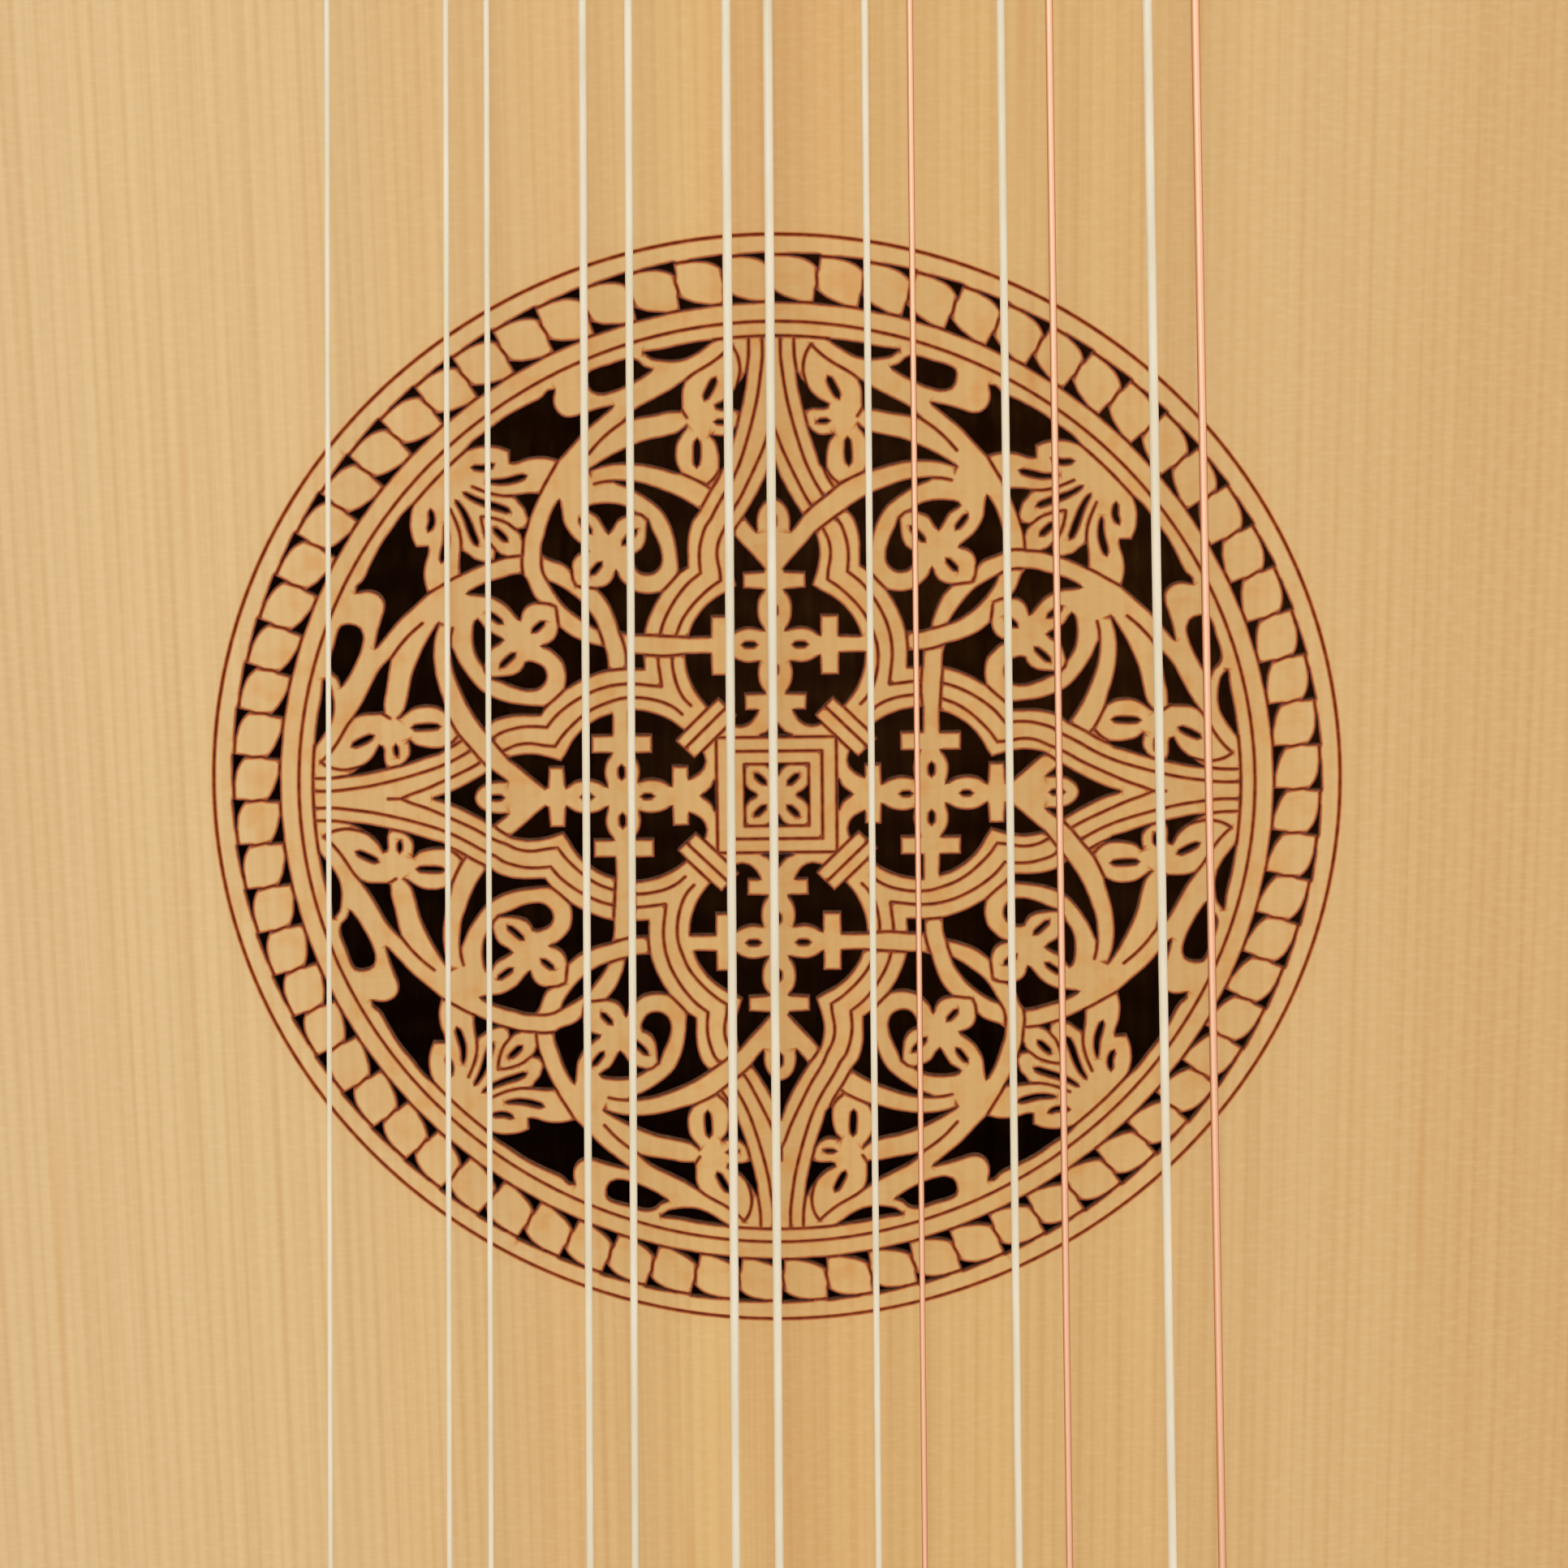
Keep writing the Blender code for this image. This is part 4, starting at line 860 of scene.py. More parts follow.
def build_soundboard():
    outline = board_outline()
    points, edges, faces = [], [], []
    for line in [outline] + OPENINGS:
        faces.append(list(range(len(points), len(points) + len(line))))
        points += anticlockwise(line)
    for line in GROOVES:
        edges += [(i, i + 1) for i in range(len(points), len(points) + len(line) - 1)]
        points += line
    points += loose_points(outline)
    spots, _, triangles, _, _, owners = delaunay_2d_cdt(points, edges, faces, 0, 1e-4)

    shape = bmesh.new()
    burn = shape.verts.layers.float.new("burn")
    kept = [tri for tri, inside in zip(triangles, owners) if list(inside) == [0]]
    print("points: %d, triangles on the face: %d" % (len(points), len(kept)))
    verts = {}
    for i in {i for tri in kept for i in tri}:
        spot = spots[i]
        sunk = max(0.0, 1 - distance(GROOVE_TREE, spot) / GROOVE_HALF) * GROOVE_DEPTH
        if distance(EDGE_TREE, spot) < ON_AN_EDGE:
            sunk = 0.0
        verts[i] = shape.verts.new((spot.x * MM, FACE_Y + sunk * MM, ROSE_Z + spot.y * MM))
        verts[i][burn] = scorching(spot)
    for tri in kept:
        shape.faces.new([verts[i] for i in tri])

    front = BVHTree.FromBMesh(shape)
    rim = [edge for edge in shape.edges if edge.is_boundary]
    walls = bmesh.ops.extrude_edge_only(shape, edges=rim)["geom"]
    lower = [item for item in walls if isinstance(item, bmesh.types.BMVert)]
    lower_count = len(lower)
    for radius in (THINNED_TO, WHOLE_FROM):
        for spot in arc(radius, 0, 360)[:-1]:
            lower.append(shape.verts.new((spot.x * MM, 0, ROSE_Z + spot.y * MM)))
    flat = [Vector((vert.co.x / MM, (vert.co.z - ROSE_Z) / MM)) for vert in lower]
    for vert, spot in zip(lower, flat):
        vert.co.y = back_of_board(spot)
    for item in walls:
        if isinstance(item, bmesh.types.BMFace) and item.verts[0][burn] > 0.5:
            item.material_index = WALL_FINISH
    order = {vert: i for i, vert in enumerate(lower[:lower_count])}
    lower_edges = [(order[e.verts[0]], order[e.verts[1]]) for e in walls
                   if isinstance(e, bmesh.types.BMEdge) and e.verts[0] in order and e.verts[1] in order]
    spots, _, back, origins, _, _ = delaunay_2d_cdt(flat, lower_edges, [], 0, 1e-5)
    for tri in back:
        middle = sum((spots[i] for i in tri), Vector((0, 0))) / 3
        above = Vector((middle.x * MM, FACE_Y - 1 * MM, ROSE_Z + middle.y * MM))
        if front.ray_cast(above, Vector((0, 1, 0)))[0] is not None:
            face = shape.faces.new([lower[origins[i][0]] for i in reversed(tri)])
            face.material_index = BACK_FINISH
    bmesh.ops.recalc_face_normals(shape, faces=shape.faces)
    loose_edges = sum(1 for edge in shape.edges if not edge.is_manifold)
    print("soundboard: %d faces, %d open edges" % (len(shape.faces), loose_edges))
    return shape


add_piece("soundboard_with_rose", build_soundboard(), (SPRUCE, SOFTWOOD, SCORCHED_WALL), "body",
          "soundboard_spruce", ["soundboard"])


# %% [markdown]
# ## Strings
# Gut strings and copper-wound strings are round cords under tension: straight from the bridge to the
# nut, bent over it and led to their pegs. A curve with a bevel would do for the plain ones. The wound
# ones show their turns of wire, so all are made one way: a flat grid is rolled round the route, row by
# row, and its seam is merged. A wound string's rows swell and shrink by turns, which draws the wire.
# Real winding wire is finer; the turns are 0.26 mm apart so that they show.

# %% Helper: a grid rolled round a route
def even_route(route, spacing, closed=False):
    """Places every `spacing` or less along a route, with the direction at each."""
    ends = route[1:] + ([route[0]] if closed else [])
    spans = [(a, b, (b - a).length) for a, b in zip(route, ends) if (b - a).length > 1e-7]
    places = []
    for a, b, length in spans:
        parts = max(1, math.ceil(length / spacing))
        places += [a.lerp(b, k / parts) for k in range(parts)]
    if not closed:
        places.append(spans[-1][1])
    count = len(places)
    headings = []
    for i in range(count):
        after = places[(i + 1) % count] if closed else places[min(i + 1, count - 1)]
        before = places[i - 1] if closed or i else places[0]
        headings.append((after - before).normalized())
    return places, headings


def roll_tube(route, radius_at, around, spacing, closed=False):
    places, headings = even_route(route, spacing, closed)
    rows = len(places) - (0 if closed else 1)
    shape = bmesh.new()
    bmesh.ops.create_grid(shape, x_segments=around, y_segments=rows, size=1.0)
    sides = []
    side = headings[0].orthogonal().normalized()
    for ahead in headings:
        side = (side - ahead * side.dot(ahead)).normalized()
        sides.append((side, ahead.cross(side)))
    for vert in shape.verts:
        turn = math.tau * round((vert.co.x + 1) / 2 * around) / around
        row = round((vert.co.y + 1) / 2 * rows)
        out, over = sides[row % len(places)]
        radius = radius_at(row)
        outward, upward = out * (radius * math.cos(turn)), over * (radius * math.sin(turn))
        vert.co = places[row % len(places)] + outward + upward
    bmesh.ops.remove_doubles(shape, verts=shape.verts, dist=0.001 * MM)
    open_edges = [edge for edge in shape.edges if edge.is_boundary]
    if open_edges:
        bmesh.ops.holes_fill(shape, edges=open_edges, sides=around)
    bmesh.ops.recalc_face_normals(shape, faces=shape.faces)
    return shape


# %% Where each string runs
OUTER_AT_NUT = 27 * MM              # the outer strings are about this far from the middle at the nut
WINDING_ROOM = 5 * MM               # left beside a cheek for a string's turns
WINDING_CLEAR = 0.25 * MM           # between a peg's shaft and the string wound on it


def string_place(index, courses, gaps):
    """The first course is one string and the others are pairs."""
    course = (index + 1) // 2
    side = 0 if index == 0 else (-0.5 if index % 2 else 0.5)
    return (courses[course] + side * gaps[course]) * MM


def bridge_x(index):
    return string_place(index, COURSES_AT_BRIDGE, PAIR_GAPS_AT_BRIDGE)


def nut_x(index):
    return string_place(index, COURSES_AT_NUT, PAIR_GAPS_AT_NUT)


def pegbox_point(x, s, n):
    return PEGBOX_ORIGIN + Vector((x, 0, 0)) + PEGBOX_ALONG * s + PEGBOX_UP * n


def pegbox_half_width(s):
    return PEGBOX_HALF_WIDTH + (PEGBOX_END_HALF_WIDTH - PEGBOX_HALF_WIDTH) * s / PEGBOX_LENGTH


def peg_s(index):
    return PEG_FIRST_S + PEG_PITCH * index


def peg_side(index):
    return -1 if index % 2 == 0 else 1


def shaft_radius(index, x):
    half = pegbox_half_width(peg_s(index))
    share = (half - peg_side(index) * x) / (2 * half)
    return PEG_HEAD_RADIUS + (PEG_TIP_RADIUS - PEG_HEAD_RADIUS) * share


def winding_x(index):
    room = pegbox_half_width(peg_s(index)) - CHEEK_THICK - WINDING_ROOM
    return nut_x(index) * room / OUTER_AT_NUT


def string_radius(index):
    return STRING_DIAMETERS[index] * MM / 2


def coil_radius(index):
    """Middle of the string where it is wound on its peg, from the peg's axis."""
    return shaft_radius(index, winding_x(index)) + string_radius(index) + WINDING_CLEAR


def string_route(index):
    x = nut_x(index)
    peg = pegbox_point(winding_x(index), peg_s(index), -PEG_SINK)
    return [
        Vector((bridge_x(index), FACE_Y - BRIDGE_STRING_HEIGHT, BRIDGE_FRONT_Z - 1.0 * MM)),
        Vector((x, FACE_Y - NUT_STRING_HEIGHT, NUT_Z)),
        Vector((x, FACE_Y - 1.45 * MM, NUT_Z + 1.2 * MM)),
        Vector((x, FACE_Y - 1.1 * MM, NUT_Z + 2.2 * MM)),
        Vector((x, FACE_Y - 0.4 * MM, NUT_Z + 2.75 * MM)),
        Vector((x, FACE_Y + 0.5 * MM, NUT_Z + 3.0 * MM)),
        peg + PEGBOX_UP * coil_radius(index),
    ]


# %% The strings
WIRE_PITCH = 0.26 * MM
WIRE_GROOVE = 0.13                  # depth between two turns of wire, as a share of the radius
WOUND_SIDES, PLAIN_SIDES = 8, 14
PLAIN_SPACING = 12 * MM


def string_finish(index):
    """What a string is made of and the slot of that finish."""
    return ((COPPER,), "string_copper") if index in WOUND_STRINGS else ((GUT,), "string_gut")


def build_string(index):
    radius = string_radius(index)
    if index in WOUND_STRINGS:
        groove = WIRE_GROOVE * radius
        return roll_tube(string_route(index), lambda row: radius - groove * (row % 2), WOUND_SIDES,
                         WIRE_PITCH / 2)
    return roll_tube(string_route(index), lambda row: radius, PLAIN_SIDES, PLAIN_SPACING)


for i in range(STRING_COUNT):
    finishes, slot = string_finish(i)
    name = "string_%02d" % (i + 1)
    piece = add_piece(name + "_cord", build_string(i), finishes, "body", slot, [name], sharp=60)
print("strings: %d, the last with %d faces" % (STRING_COUNT, len(piece.data.polygons)))


# %% [markdown]
# ## Bridge and ties
# The bridge is a low bar of stained pear glued to the board, its ends drawn out thin. Its outline is
# a face that is extruded along the strings and bevelled; one small hole for each string is cut by a
# boolean, because thirteen holes in a bar are awkward to model by hand. Each string passes back through
# its hole, comes over the top and is tied round itself at the front, so each tie is a rolled tube.

# %% The bridge
BRIDGE_DEPTH = 12 * MM
STRING_HOLE_RADIUS = 0.75 * MM
DRILL_SPARE = 4 * MM                # the drill is this much longer than the hole
BRIDGE_TALL = 8.5 * MM              # leaves room for the ties over the top
bridge_low, bridge_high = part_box("bridge")
BRIDGE_BASE_Y = bridge_high.y
BRIDGE_X = (bridge_low.x + bridge_high.x) / 2


def build_bridge():
    half = [(75, 0), (74, 1.6), (71, 2.3), (66, 2.6), (62, 3.1), (59, 4.6), (56.5, 7.2), (55, 8.5)]
    outline = [(x * MM, n * MM) for x, n in half] + [(-x * MM, n * MM) for x, n in reversed(half)]
    shape = bmesh.new()
    corners = [shape.verts.new((BRIDGE_X + x, BRIDGE_BASE_Y - n, BRIDGE_FRONT_Z)) for x, n in outline]
    front = shape.faces.new(corners)
    grown = bmesh.ops.extrude_face_region(shape, geom=[front])["geom"]
    behind = [item for item in grown if isinstance(item, bmesh.types.BMVert)]
    bmesh.ops.translate(shape, vec=(0, 0, -BRIDGE_DEPTH), verts=behind)
    bmesh.ops.recalc_face_normals(shape, faces=shape.faces)
    round_edges(shape, 0.6 * MM, 3, 25)
    return shape


def string_holes():
    """One cylinder along each string's hole, all in one bmesh."""
    drills = bmesh.new()
    for i in range(STRING_COUNT):
        middle = Vector((bridge_x(i), FACE_Y - BRIDGE_STRING_HEIGHT, BRIDGE_FRONT_Z - BRIDGE_DEPTH / 2))
        bmesh.ops.create_cone(drills, cap_ends=True, segments=16, radius1=STRING_HOLE_RADIUS,
                              radius2=STRING_HOLE_RADIUS, depth=BRIDGE_DEPTH + DRILL_SPARE,
                              matrix=Matrix.Translation(middle))
    return drills


bridge = add_piece("bridge_bar", build_bridge(), (PEAR,), "body", "bridge_pear", ["bridge"])
cut_away(bridge, string_holes())
print("bridge: %d faces" % len(bridge.data.polygons))


# %% The ties
def tie_route(index):
    """From the hole's back end over the top, round the string in front, and back onto the top."""
    x, r = bridge_x(index), string_radius(index)
    hole_y, top_y = FACE_Y - BRIDGE_STRING_HEIGHT, BRIDGE_BASE_Y - BRIDGE_TALL - r
    front, back = BRIDGE_FRONT_Z, BRIDGE_FRONT_Z - BRIDGE_DEPTH
    far = 2 * r + 0.12 * MM
    control = [
        (x, hole_y, back + 2 * MM), (x, hole_y, back - 0.4 * MM), (x, hole_y - 0.9 * MM, back - r),
        (x, top_y + 0.3 * MM, back - 0.3 * r), (x - 0.1 * far, top_y, back + 1.4 * MM),
        (x - 0.6 * far, top_y, front - 4 * MM), (x - far, top_y, front - 1 * MM),
        (x - far, top_y + 0.6 * MM, front + r), (x - far, hole_y, front + 1.1 * r),
        (x, hole_y + far, front + 1.3 * r), (x + far, hole_y, front + 1.2 * r),
        (x + far, top_y + 0.6 * MM, front + r), (x + far, top_y, front - 1.2 * MM),
        (x + 0.5 * far, top_y - 0.05 * MM, front - 4.5 * MM), (x + 1.4 * far, top_y, front - 6.5 * MM),
    ]
    return bend_through([Vector(place) for place in control])


def bend_through(control, parts=5):
    """A smooth route through a few places, by Catmull-Rom spans."""
    route = []
    for i in range(len(control) - 1):
        here, there = control[i], control[i + 1]
        before, beyond = control[max(i - 1, 0)], control[min(i + 2, len(control) - 1)]
        leave, arrive = (there - before) / 2, (beyond - here) / 2
        route += [cubic(here, there, leave, arrive, k / parts) for k in range(parts)]
    route.append(control[-1])
    return route


for i in range(STRING_COUNT):
    radius = string_radius(i)
    finishes, slot = string_finish(i)
    shape = roll_tube(tie_route(i), lambda row: radius, 10, 2 * MM)
    add_piece("string_%02d_tie" % (i + 1), shape, finishes, "body", slot, sharp=60)
print("ties:", STRING_COUNT)


# %% [markdown]
# ## The bowl
# Nine bent maple ribs make the bowl, flat or slightly crowned across, with a thin black line in each
# joint. A rib could be bent with a curve modifier, but the bowl is a known surface: each rib is a grid
# whose rows are placed between two seams, crowned a little and given its wall by Solidify. The clasp
# over the ribs' lower ends is a grid laid on the same surface.

# %% Ribs, joint lines and clasp
def bowl_point(t, turn, inset=0.0):
    """t is 0 at the bottom pole, 1 at the widest place, 2 at the neck; turn goes round the bowl."""
    if t <= 1:
        swing = math.radians(90) * (1 - t)
        width = (HALF_WIDTH - inset) * math.cos(swing)
        depth = (DEPTH - inset) * math.cos(swing)
        z = WIDEST_Z - (WIDEST_Z - BOTTOM_Z - inset) * math.sin(swing)
    else:
        z = WIDEST_Z + (t - 1) * (JOINT_Z - WIDEST_Z)
        width = side_arc(z, HALF_WIDTH, NECK_HALF_WIDTH, inset)
        depth = side_arc(z, DEPTH, JOINT_DEPTH, inset)
    return Vector((width * math.cos(turn), BOWL_Y + depth * math.sin(turn), z))


RIB_ROWS, RIB_COLUMNS = 72, 6
RIB_CROWN = 0.5 * MM
FULL_CROWN_WIDTH = 30 * MM          # a rib narrower than this is crowned less
FIRST_T = 0.04                      # the ribs start this far up from the bottom pole


def laid_grid(columns, rows, place):
    """A grid whose vertices are laid by a function of two shares, across and along."""
    shape = bmesh.new()
    bmesh.ops.create_grid(shape, x_segments=columns, y_segments=rows, size=1.0)
    for vert in shape.verts:
        vert.co = place((vert.co.x + 1) / 2, (vert.co.y + 1) / 2)
    bmesh.ops.recalc_face_normals(shape, faces=shape.faces)
    middle = Vector((0, BOWL_Y, WIDEST_Z))
    shape.faces.ensure_lookup_table()
    some = shape.faces[len(shape.faces) // 2]
    if some.normal.dot(some.calc_center_median() - middle) < 0:
        bmesh.ops.reverse_faces(shape, faces=shape.faces)
    return shape


def add_wall(piece, thickness):
    wall = piece.modifiers.new("wall", "SOLIDIFY")
    wall.thickness, wall.offset, wall.use_even_offset = thickness, -1.0, True


def rib_place(index):
    start, end = math.pi * index / RIB_COUNT, math.pi * (index + 1) / RIB_COUNT

    def place(across, along):
        t = FIRST_T + (2 - FIRST_T) * along
        left, right = bowl_point(t, start), bowl_point(t, end)
        crown = RIB_CROWN * 4 * across * (1 - across) * min(1.0, (right - left).length / FULL_CROWN_WIDTH)
        out = ((left + right) / 2 - Vector((0, BOWL_Y, left.z))).normalized()
        return left.lerp(right, across) + out * crown

    return place


for i in range(RIB_COUNT):
    node = "rib_%d" % (i + 1)
    rib = add_piece(node + "_bent", laid_grid(RIB_COLUMNS, RIB_ROWS, rib_place(i)), (MAPLE,), "body",
                    "bowl_maple", [node])
    add_wall(rib, RIB_THICK)

SEAM_HALF = 0.45 * MM
SEAM_DEEP, SEAM_PROUD = 0.9 * MM, 0.05 * MM
for i in range(1, RIB_COUNT):
    seam = math.pi * i / RIB_COUNT

    def seam_place(across, along):
        t = FIRST_T + (2 - FIRST_T) * along
        here = bowl_point(t, seam, -SEAM_PROUD)
        beside = (bowl_point(t, seam + 0.01) - bowl_point(t, seam - 0.01)).normalized()
        return here + beside * (SEAM_HALF * (2 * across - 1))

    line = add_piece("rib_seam_%d" % i, laid_grid(1, RIB_ROWS, seam_place), (BLACK_LINE,), "body",
                     "bowl_maple")
    add_wall(line, SEAM_DEEP)

CLASP_REACH = math.radians(46)      # to each side of the bottom
CLASP_END, CLASP_RISE = 3, 25       # mm wide at its ends, and so much wider in the middle
CLASP_FULLNESS = 0.8
CLASP_THICK = 0.95 * MM


def clasp_place(across, along):
    angle = CLASP_REACH * (2 * along - 1)
    wave = max(0.0, math.cos(angle / CLASP_REACH * math.pi / 2))
    back = (CLASP_END + CLASP_RISE * wave ** CLASP_FULLNESS) * MM * across
    level = math.sqrt(1 - (back / (DEPTH + OVERHANG)) ** 2)
    x = (HALF_WIDTH + OVERHANG) * level * math.sin(angle)
    z = WIDEST_Z - (WIDEST_Z - BOTTOM_Z + OVERHANG) * level * math.cos(angle)
    return Vector((x, BOWL_Y + back, z))


clasp = add_piece("end_clasp_bent", laid_grid(12, 96, clasp_place), (MAPLE,), "body", "bowl_maple",
                  ["end_clasp"])
add_wall(clasp, CLASP_THICK)
print("ribs: %d, seams: %d" % (RIB_COUNT, RIB_COUNT - 1))

# %% [markdown]
# ## Neck, fingerboard and nut
# The neck is half round behind and flat in front. A disc is flattened on one side to make its section,
# extruded upwards and narrowed, and the place where the pegbox is let in is cut by a boolean. Plain
# blocks such as the fingerboard are a merged copy of their solid with its edges eased.


# %% The neck
def neck_half_width(z):
    share = (z - JOINT_Z) / (NECK_TOP_Z - JOINT_Z)
    return NECK_HALF_WIDTH + (NECK_TOP_HALF_WIDTH - NECK_HALF_WIDTH) * share


def neck_depth(z):
    at_joint = JOINT_DEPTH - (FINGERBOARD_THICK - BOARD_THICK)
    at_top = NECK_TOP_DEPTH - FINGERBOARD_THICK
    return at_joint + (at_top - at_joint) * (z - JOINT_Z) / (NECK_TOP_Z - JOINT_Z)


NECK_FRONT_Y = FACE_Y + FINGERBOARD_THICK + GAP
SEAT_SIZE = (100 * MM, 80 * MM, 67.6 * MM)      # block cut from the neck for the pegbox
SEAT_MIDDLE = (0, 39.7 * MM, 6.2 * MM)          # across, along and up in the pegbox's own axes


def build_neck():
    shape = bmesh.new()
    bmesh.ops.create_circle(shape, cap_ends=True, segments=96, radius=1.0)
    grown = bmesh.ops.extrude_face_region(shape, geom=shape.faces[:])["geom"]
    top = {item for item in grown if isinstance(item, bmesh.types.BMVert)}
    for vert in shape.verts:
        z = NECK_TOP_Z if vert in top else JOINT_Z + GAP
        vert.co = (vert.co.x * neck_half_width(z), NECK_FRONT_Y + max(0, vert.co.y) * neck_depth(z), z)
    bmesh.ops.recalc_face_normals(shape, faces=shape.faces)
    return shape


def pegbox_seat():
    shape = bmesh.new()
    bmesh.ops.create_cube(shape, size=1.0)
    bmesh.ops.scale(shape, vec=SEAT_SIZE, verts=shape.verts)
    bmesh.ops.translate(shape, vec=SEAT_MIDDLE, verts=shape.verts)
    turn = axes_matrix((1, 0, 0), PEGBOX_ALONG, PEGBOX_UP, PEGBOX_ORIGIN)
    bmesh.ops.transform(shape, matrix=turn, verts=shape.verts)
    return shape


neck = add_piece("neck_round_back", build_neck(), (EBONY,), "body", "neck_ebony", ["neck"])
cut_away(neck, pegbox_seat())
print("neck: %d faces" % len(neck.data.polygons))

# %% Blocks with eased edges
EASED = [
    ("fingerboard", 0.5, EBONY, "neck_ebony"),
    ("pegbox_cheek_left", 0.9, PEGBOX_MAPLE, "pegbox_maple"),
    ("pegbox_cheek_right", 0.9, PEGBOX_MAPLE, "pegbox_maple"),
    ("pegbox_back", 0.7, PEGBOX_MAPLE, "pegbox_maple"),
    ("pegbox_end", 0.6, PEGBOX_MAPLE, "pegbox_maple"),
    ("neck_block", 0.8, SOFTWOOD, "inner_softwood"),
    ("tail_block", 0.8, SOFTWOOD, "inner_softwood"),
] + [("bar_%d" % (i + 1), 0.5, BAR_WOOD, "inner_softwood") for i in range(4)]
for node, ease, finish, slot in EASED:
    shape = node_copy(node)
    round_edges(shape, ease * MM, 2, 40)
    add_piece(node + "_eased", shape, (finish,), "body", slot, [node])
print("eased blocks:", len(EASED))


# %% [markdown]
# The nut is a strip of bone with a rounded edge. On a real one the strings sit in shallow filed
# notches. None is cut here: the crest stands as high as the strings' middles, so that each string is
# sunk in the bone by half its thickness, which looks the same.

# %% The nut
nut_low, nut_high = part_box("nut")


def build_nut():
    crest = FACE_Y - NUT_STRING_HEIGHT
    back = nut_high.y
    profile = [(back, nut_low.z), (crest + 0.45 * MM, nut_low.z), (crest, nut_low.z + 1.2 * MM),
               (crest + 0.1 * MM, nut_low.z + 2.0 * MM), (crest + 0.5 * MM, nut_low.z + 2.9 * MM),
               (crest + 1.5 * MM, nut_high.z), (back, nut_high.z)]
    shape = bmesh.new()
    end = shape.faces.new([shape.verts.new((nut_low.x, y, z)) for y, z in profile])
    grown = bmesh.ops.extrude_face_region(shape, geom=[end])["geom"]
    far = [item for item in grown if isinstance(item, bmesh.types.BMVert)]
    bmesh.ops.translate(shape, vec=(nut_high.x - nut_low.x, 0, 0), verts=far)
    bmesh.ops.recalc_face_normals(shape, faces=shape.faces)
    round_edges(shape, 0.25 * MM, 2, 20)
    return shape


add_piece("nut_bone_strip", build_nut(), (BONE,), "body", "nut_bone", ["nut"])
print("nut crest at y = %.2f mm" % ((FACE_Y - NUT_STRING_HEIGHT) / MM))


# %% [markdown]
# ## Frets
# A lute's frets are lengths of gut tied round the neck, thick by the nut and thinner towards the body,
# with a small knot at the bass side. Each is a closed rolled tube; its knot is a short trefoil
# knot, which is the knot with the fewest crossings and looks right at this size.

# %% The frets and their knots
FRET_COUNT = 8
FRET_RADII = (0.5 * MM, 0.3 * MM)   # by the nut and by the body
FRET_PARTS, KNOT_PARTS = 48, 48
FRET_CORNER = 0.6 * MM
KNOT_TURN, KNOT_OUT, KNOT_SIZE = math.radians(12), 1.2 * MM, 1.5 * MM
KNOT_FINER = 0.8                    # the knot's gut against the loop's


def fret_route(z, grow):
    arc_points = []
    for i in range(FRET_PARTS + 1):
        turn = math.pi * i / FRET_PARTS
        arc_points.append(Vector(((neck_half_width(z) + grow) * math.cos(turn),
                                  NECK_FRONT_Y + (neck_depth(z) + grow) * math.sin(turn), z)))
    front, edge = FACE_Y - grow, neck_half_width(z) + grow
    left = [Vector((-edge, front + FRET_CORNER, z)), Vector((-edge + FRET_CORNER, front, z))]
    right = [Vector((edge - FRET_CORNER, front, z)), Vector((edge, front + FRET_CORNER, z))]
    return arc_points + left + right


def knot_route(middle, size):
    route = []
    for i in range(KNOT_PARTS):
        t = math.tau * i / KNOT_PARTS
        route.append(middle + size * Vector((0.45 * math.sin(3 * t), math.cos(t) - 2 * math.cos(2 * t),
                                             math.sin(t) + 2 * math.sin(2 * t))) / 3)
    return route


for n in range(1, FRET_COUNT + 1):
    z = NUT_Z - STRING_LENGTH * (1 - 2 ** (-n / 12))
    radius = FRET_RADII[0] + (FRET_RADII[1] - FRET_RADII[0]) * (n - 1) / (FRET_COUNT - 1)
    body = "fret_%d_sliding" % n
    loop = roll_tube(fret_route(z, GAP + radius), lambda row: radius, 12, 6 * MM, closed=True)
    add_piece("fret_%d_loop" % n, loop, (FRET_GUT,), body, "fret_gut", ["fret_%d" % n], sharp=60)
    at = Vector(((neck_half_width(z) + KNOT_OUT) * math.cos(KNOT_TURN),
                 NECK_FRONT_Y + (neck_depth(z) + KNOT_OUT) * math.sin(KNOT_TURN), z))
    knot = roll_tube(knot_route(at, KNOT_SIZE), lambda row: radius * KNOT_FINER, 8, 1 * MM, closed=True)
    add_piece("fret_%d_knot" % n, knot, (FRET_GUT,), body, "fret_gut", sharp=60)
print("frets:", FRET_COUNT)


# %% [markdown]
# ## Pegs
# Each peg is turned from plum wood: a tapered shaft, a collar with a bead, a short neck, and a flat
# grip that is hollowed for the thumb. The turned part is a profile spun round the peg's axis. The grip
# starts as a sphere, because squashing and hollowing a sphere keeps its rim round all the way. The
# string's turns lie so close that a row of spun rings looks the same as a helix, and rings stay in
# touch with the string however far the peg is turned. They ride on the peg's body.

# %% The pegs
COLLAR_GAP = 2 * MM
TIP_PROUD = 3 * MM                  # shaft beyond the far cheek
THUMB_HOLLOW, HEART_NARROWING = 0.50, 0.18
BUTTON_RADIUS, BUTTON_OUT = 1.5 * MM, 0.3 * MM
GRIP_MIDDLE = 13.5 * MM             # from the collar to the middle of the grip
GRIP_SIZE = (10 * MM, 3.6 * MM, 9 * MM)


def peg_matrix(index):
    """The peg's own Z runs along its axis from the grip to the tip."""
    toward_tip = Vector((-peg_side(index), 0, 0))
    return axes_matrix(PEGBOX_ALONG, toward_tip.cross(PEGBOX_ALONG), toward_tip,
                       pegbox_point(0, peg_s(index), -PEG_SINK))


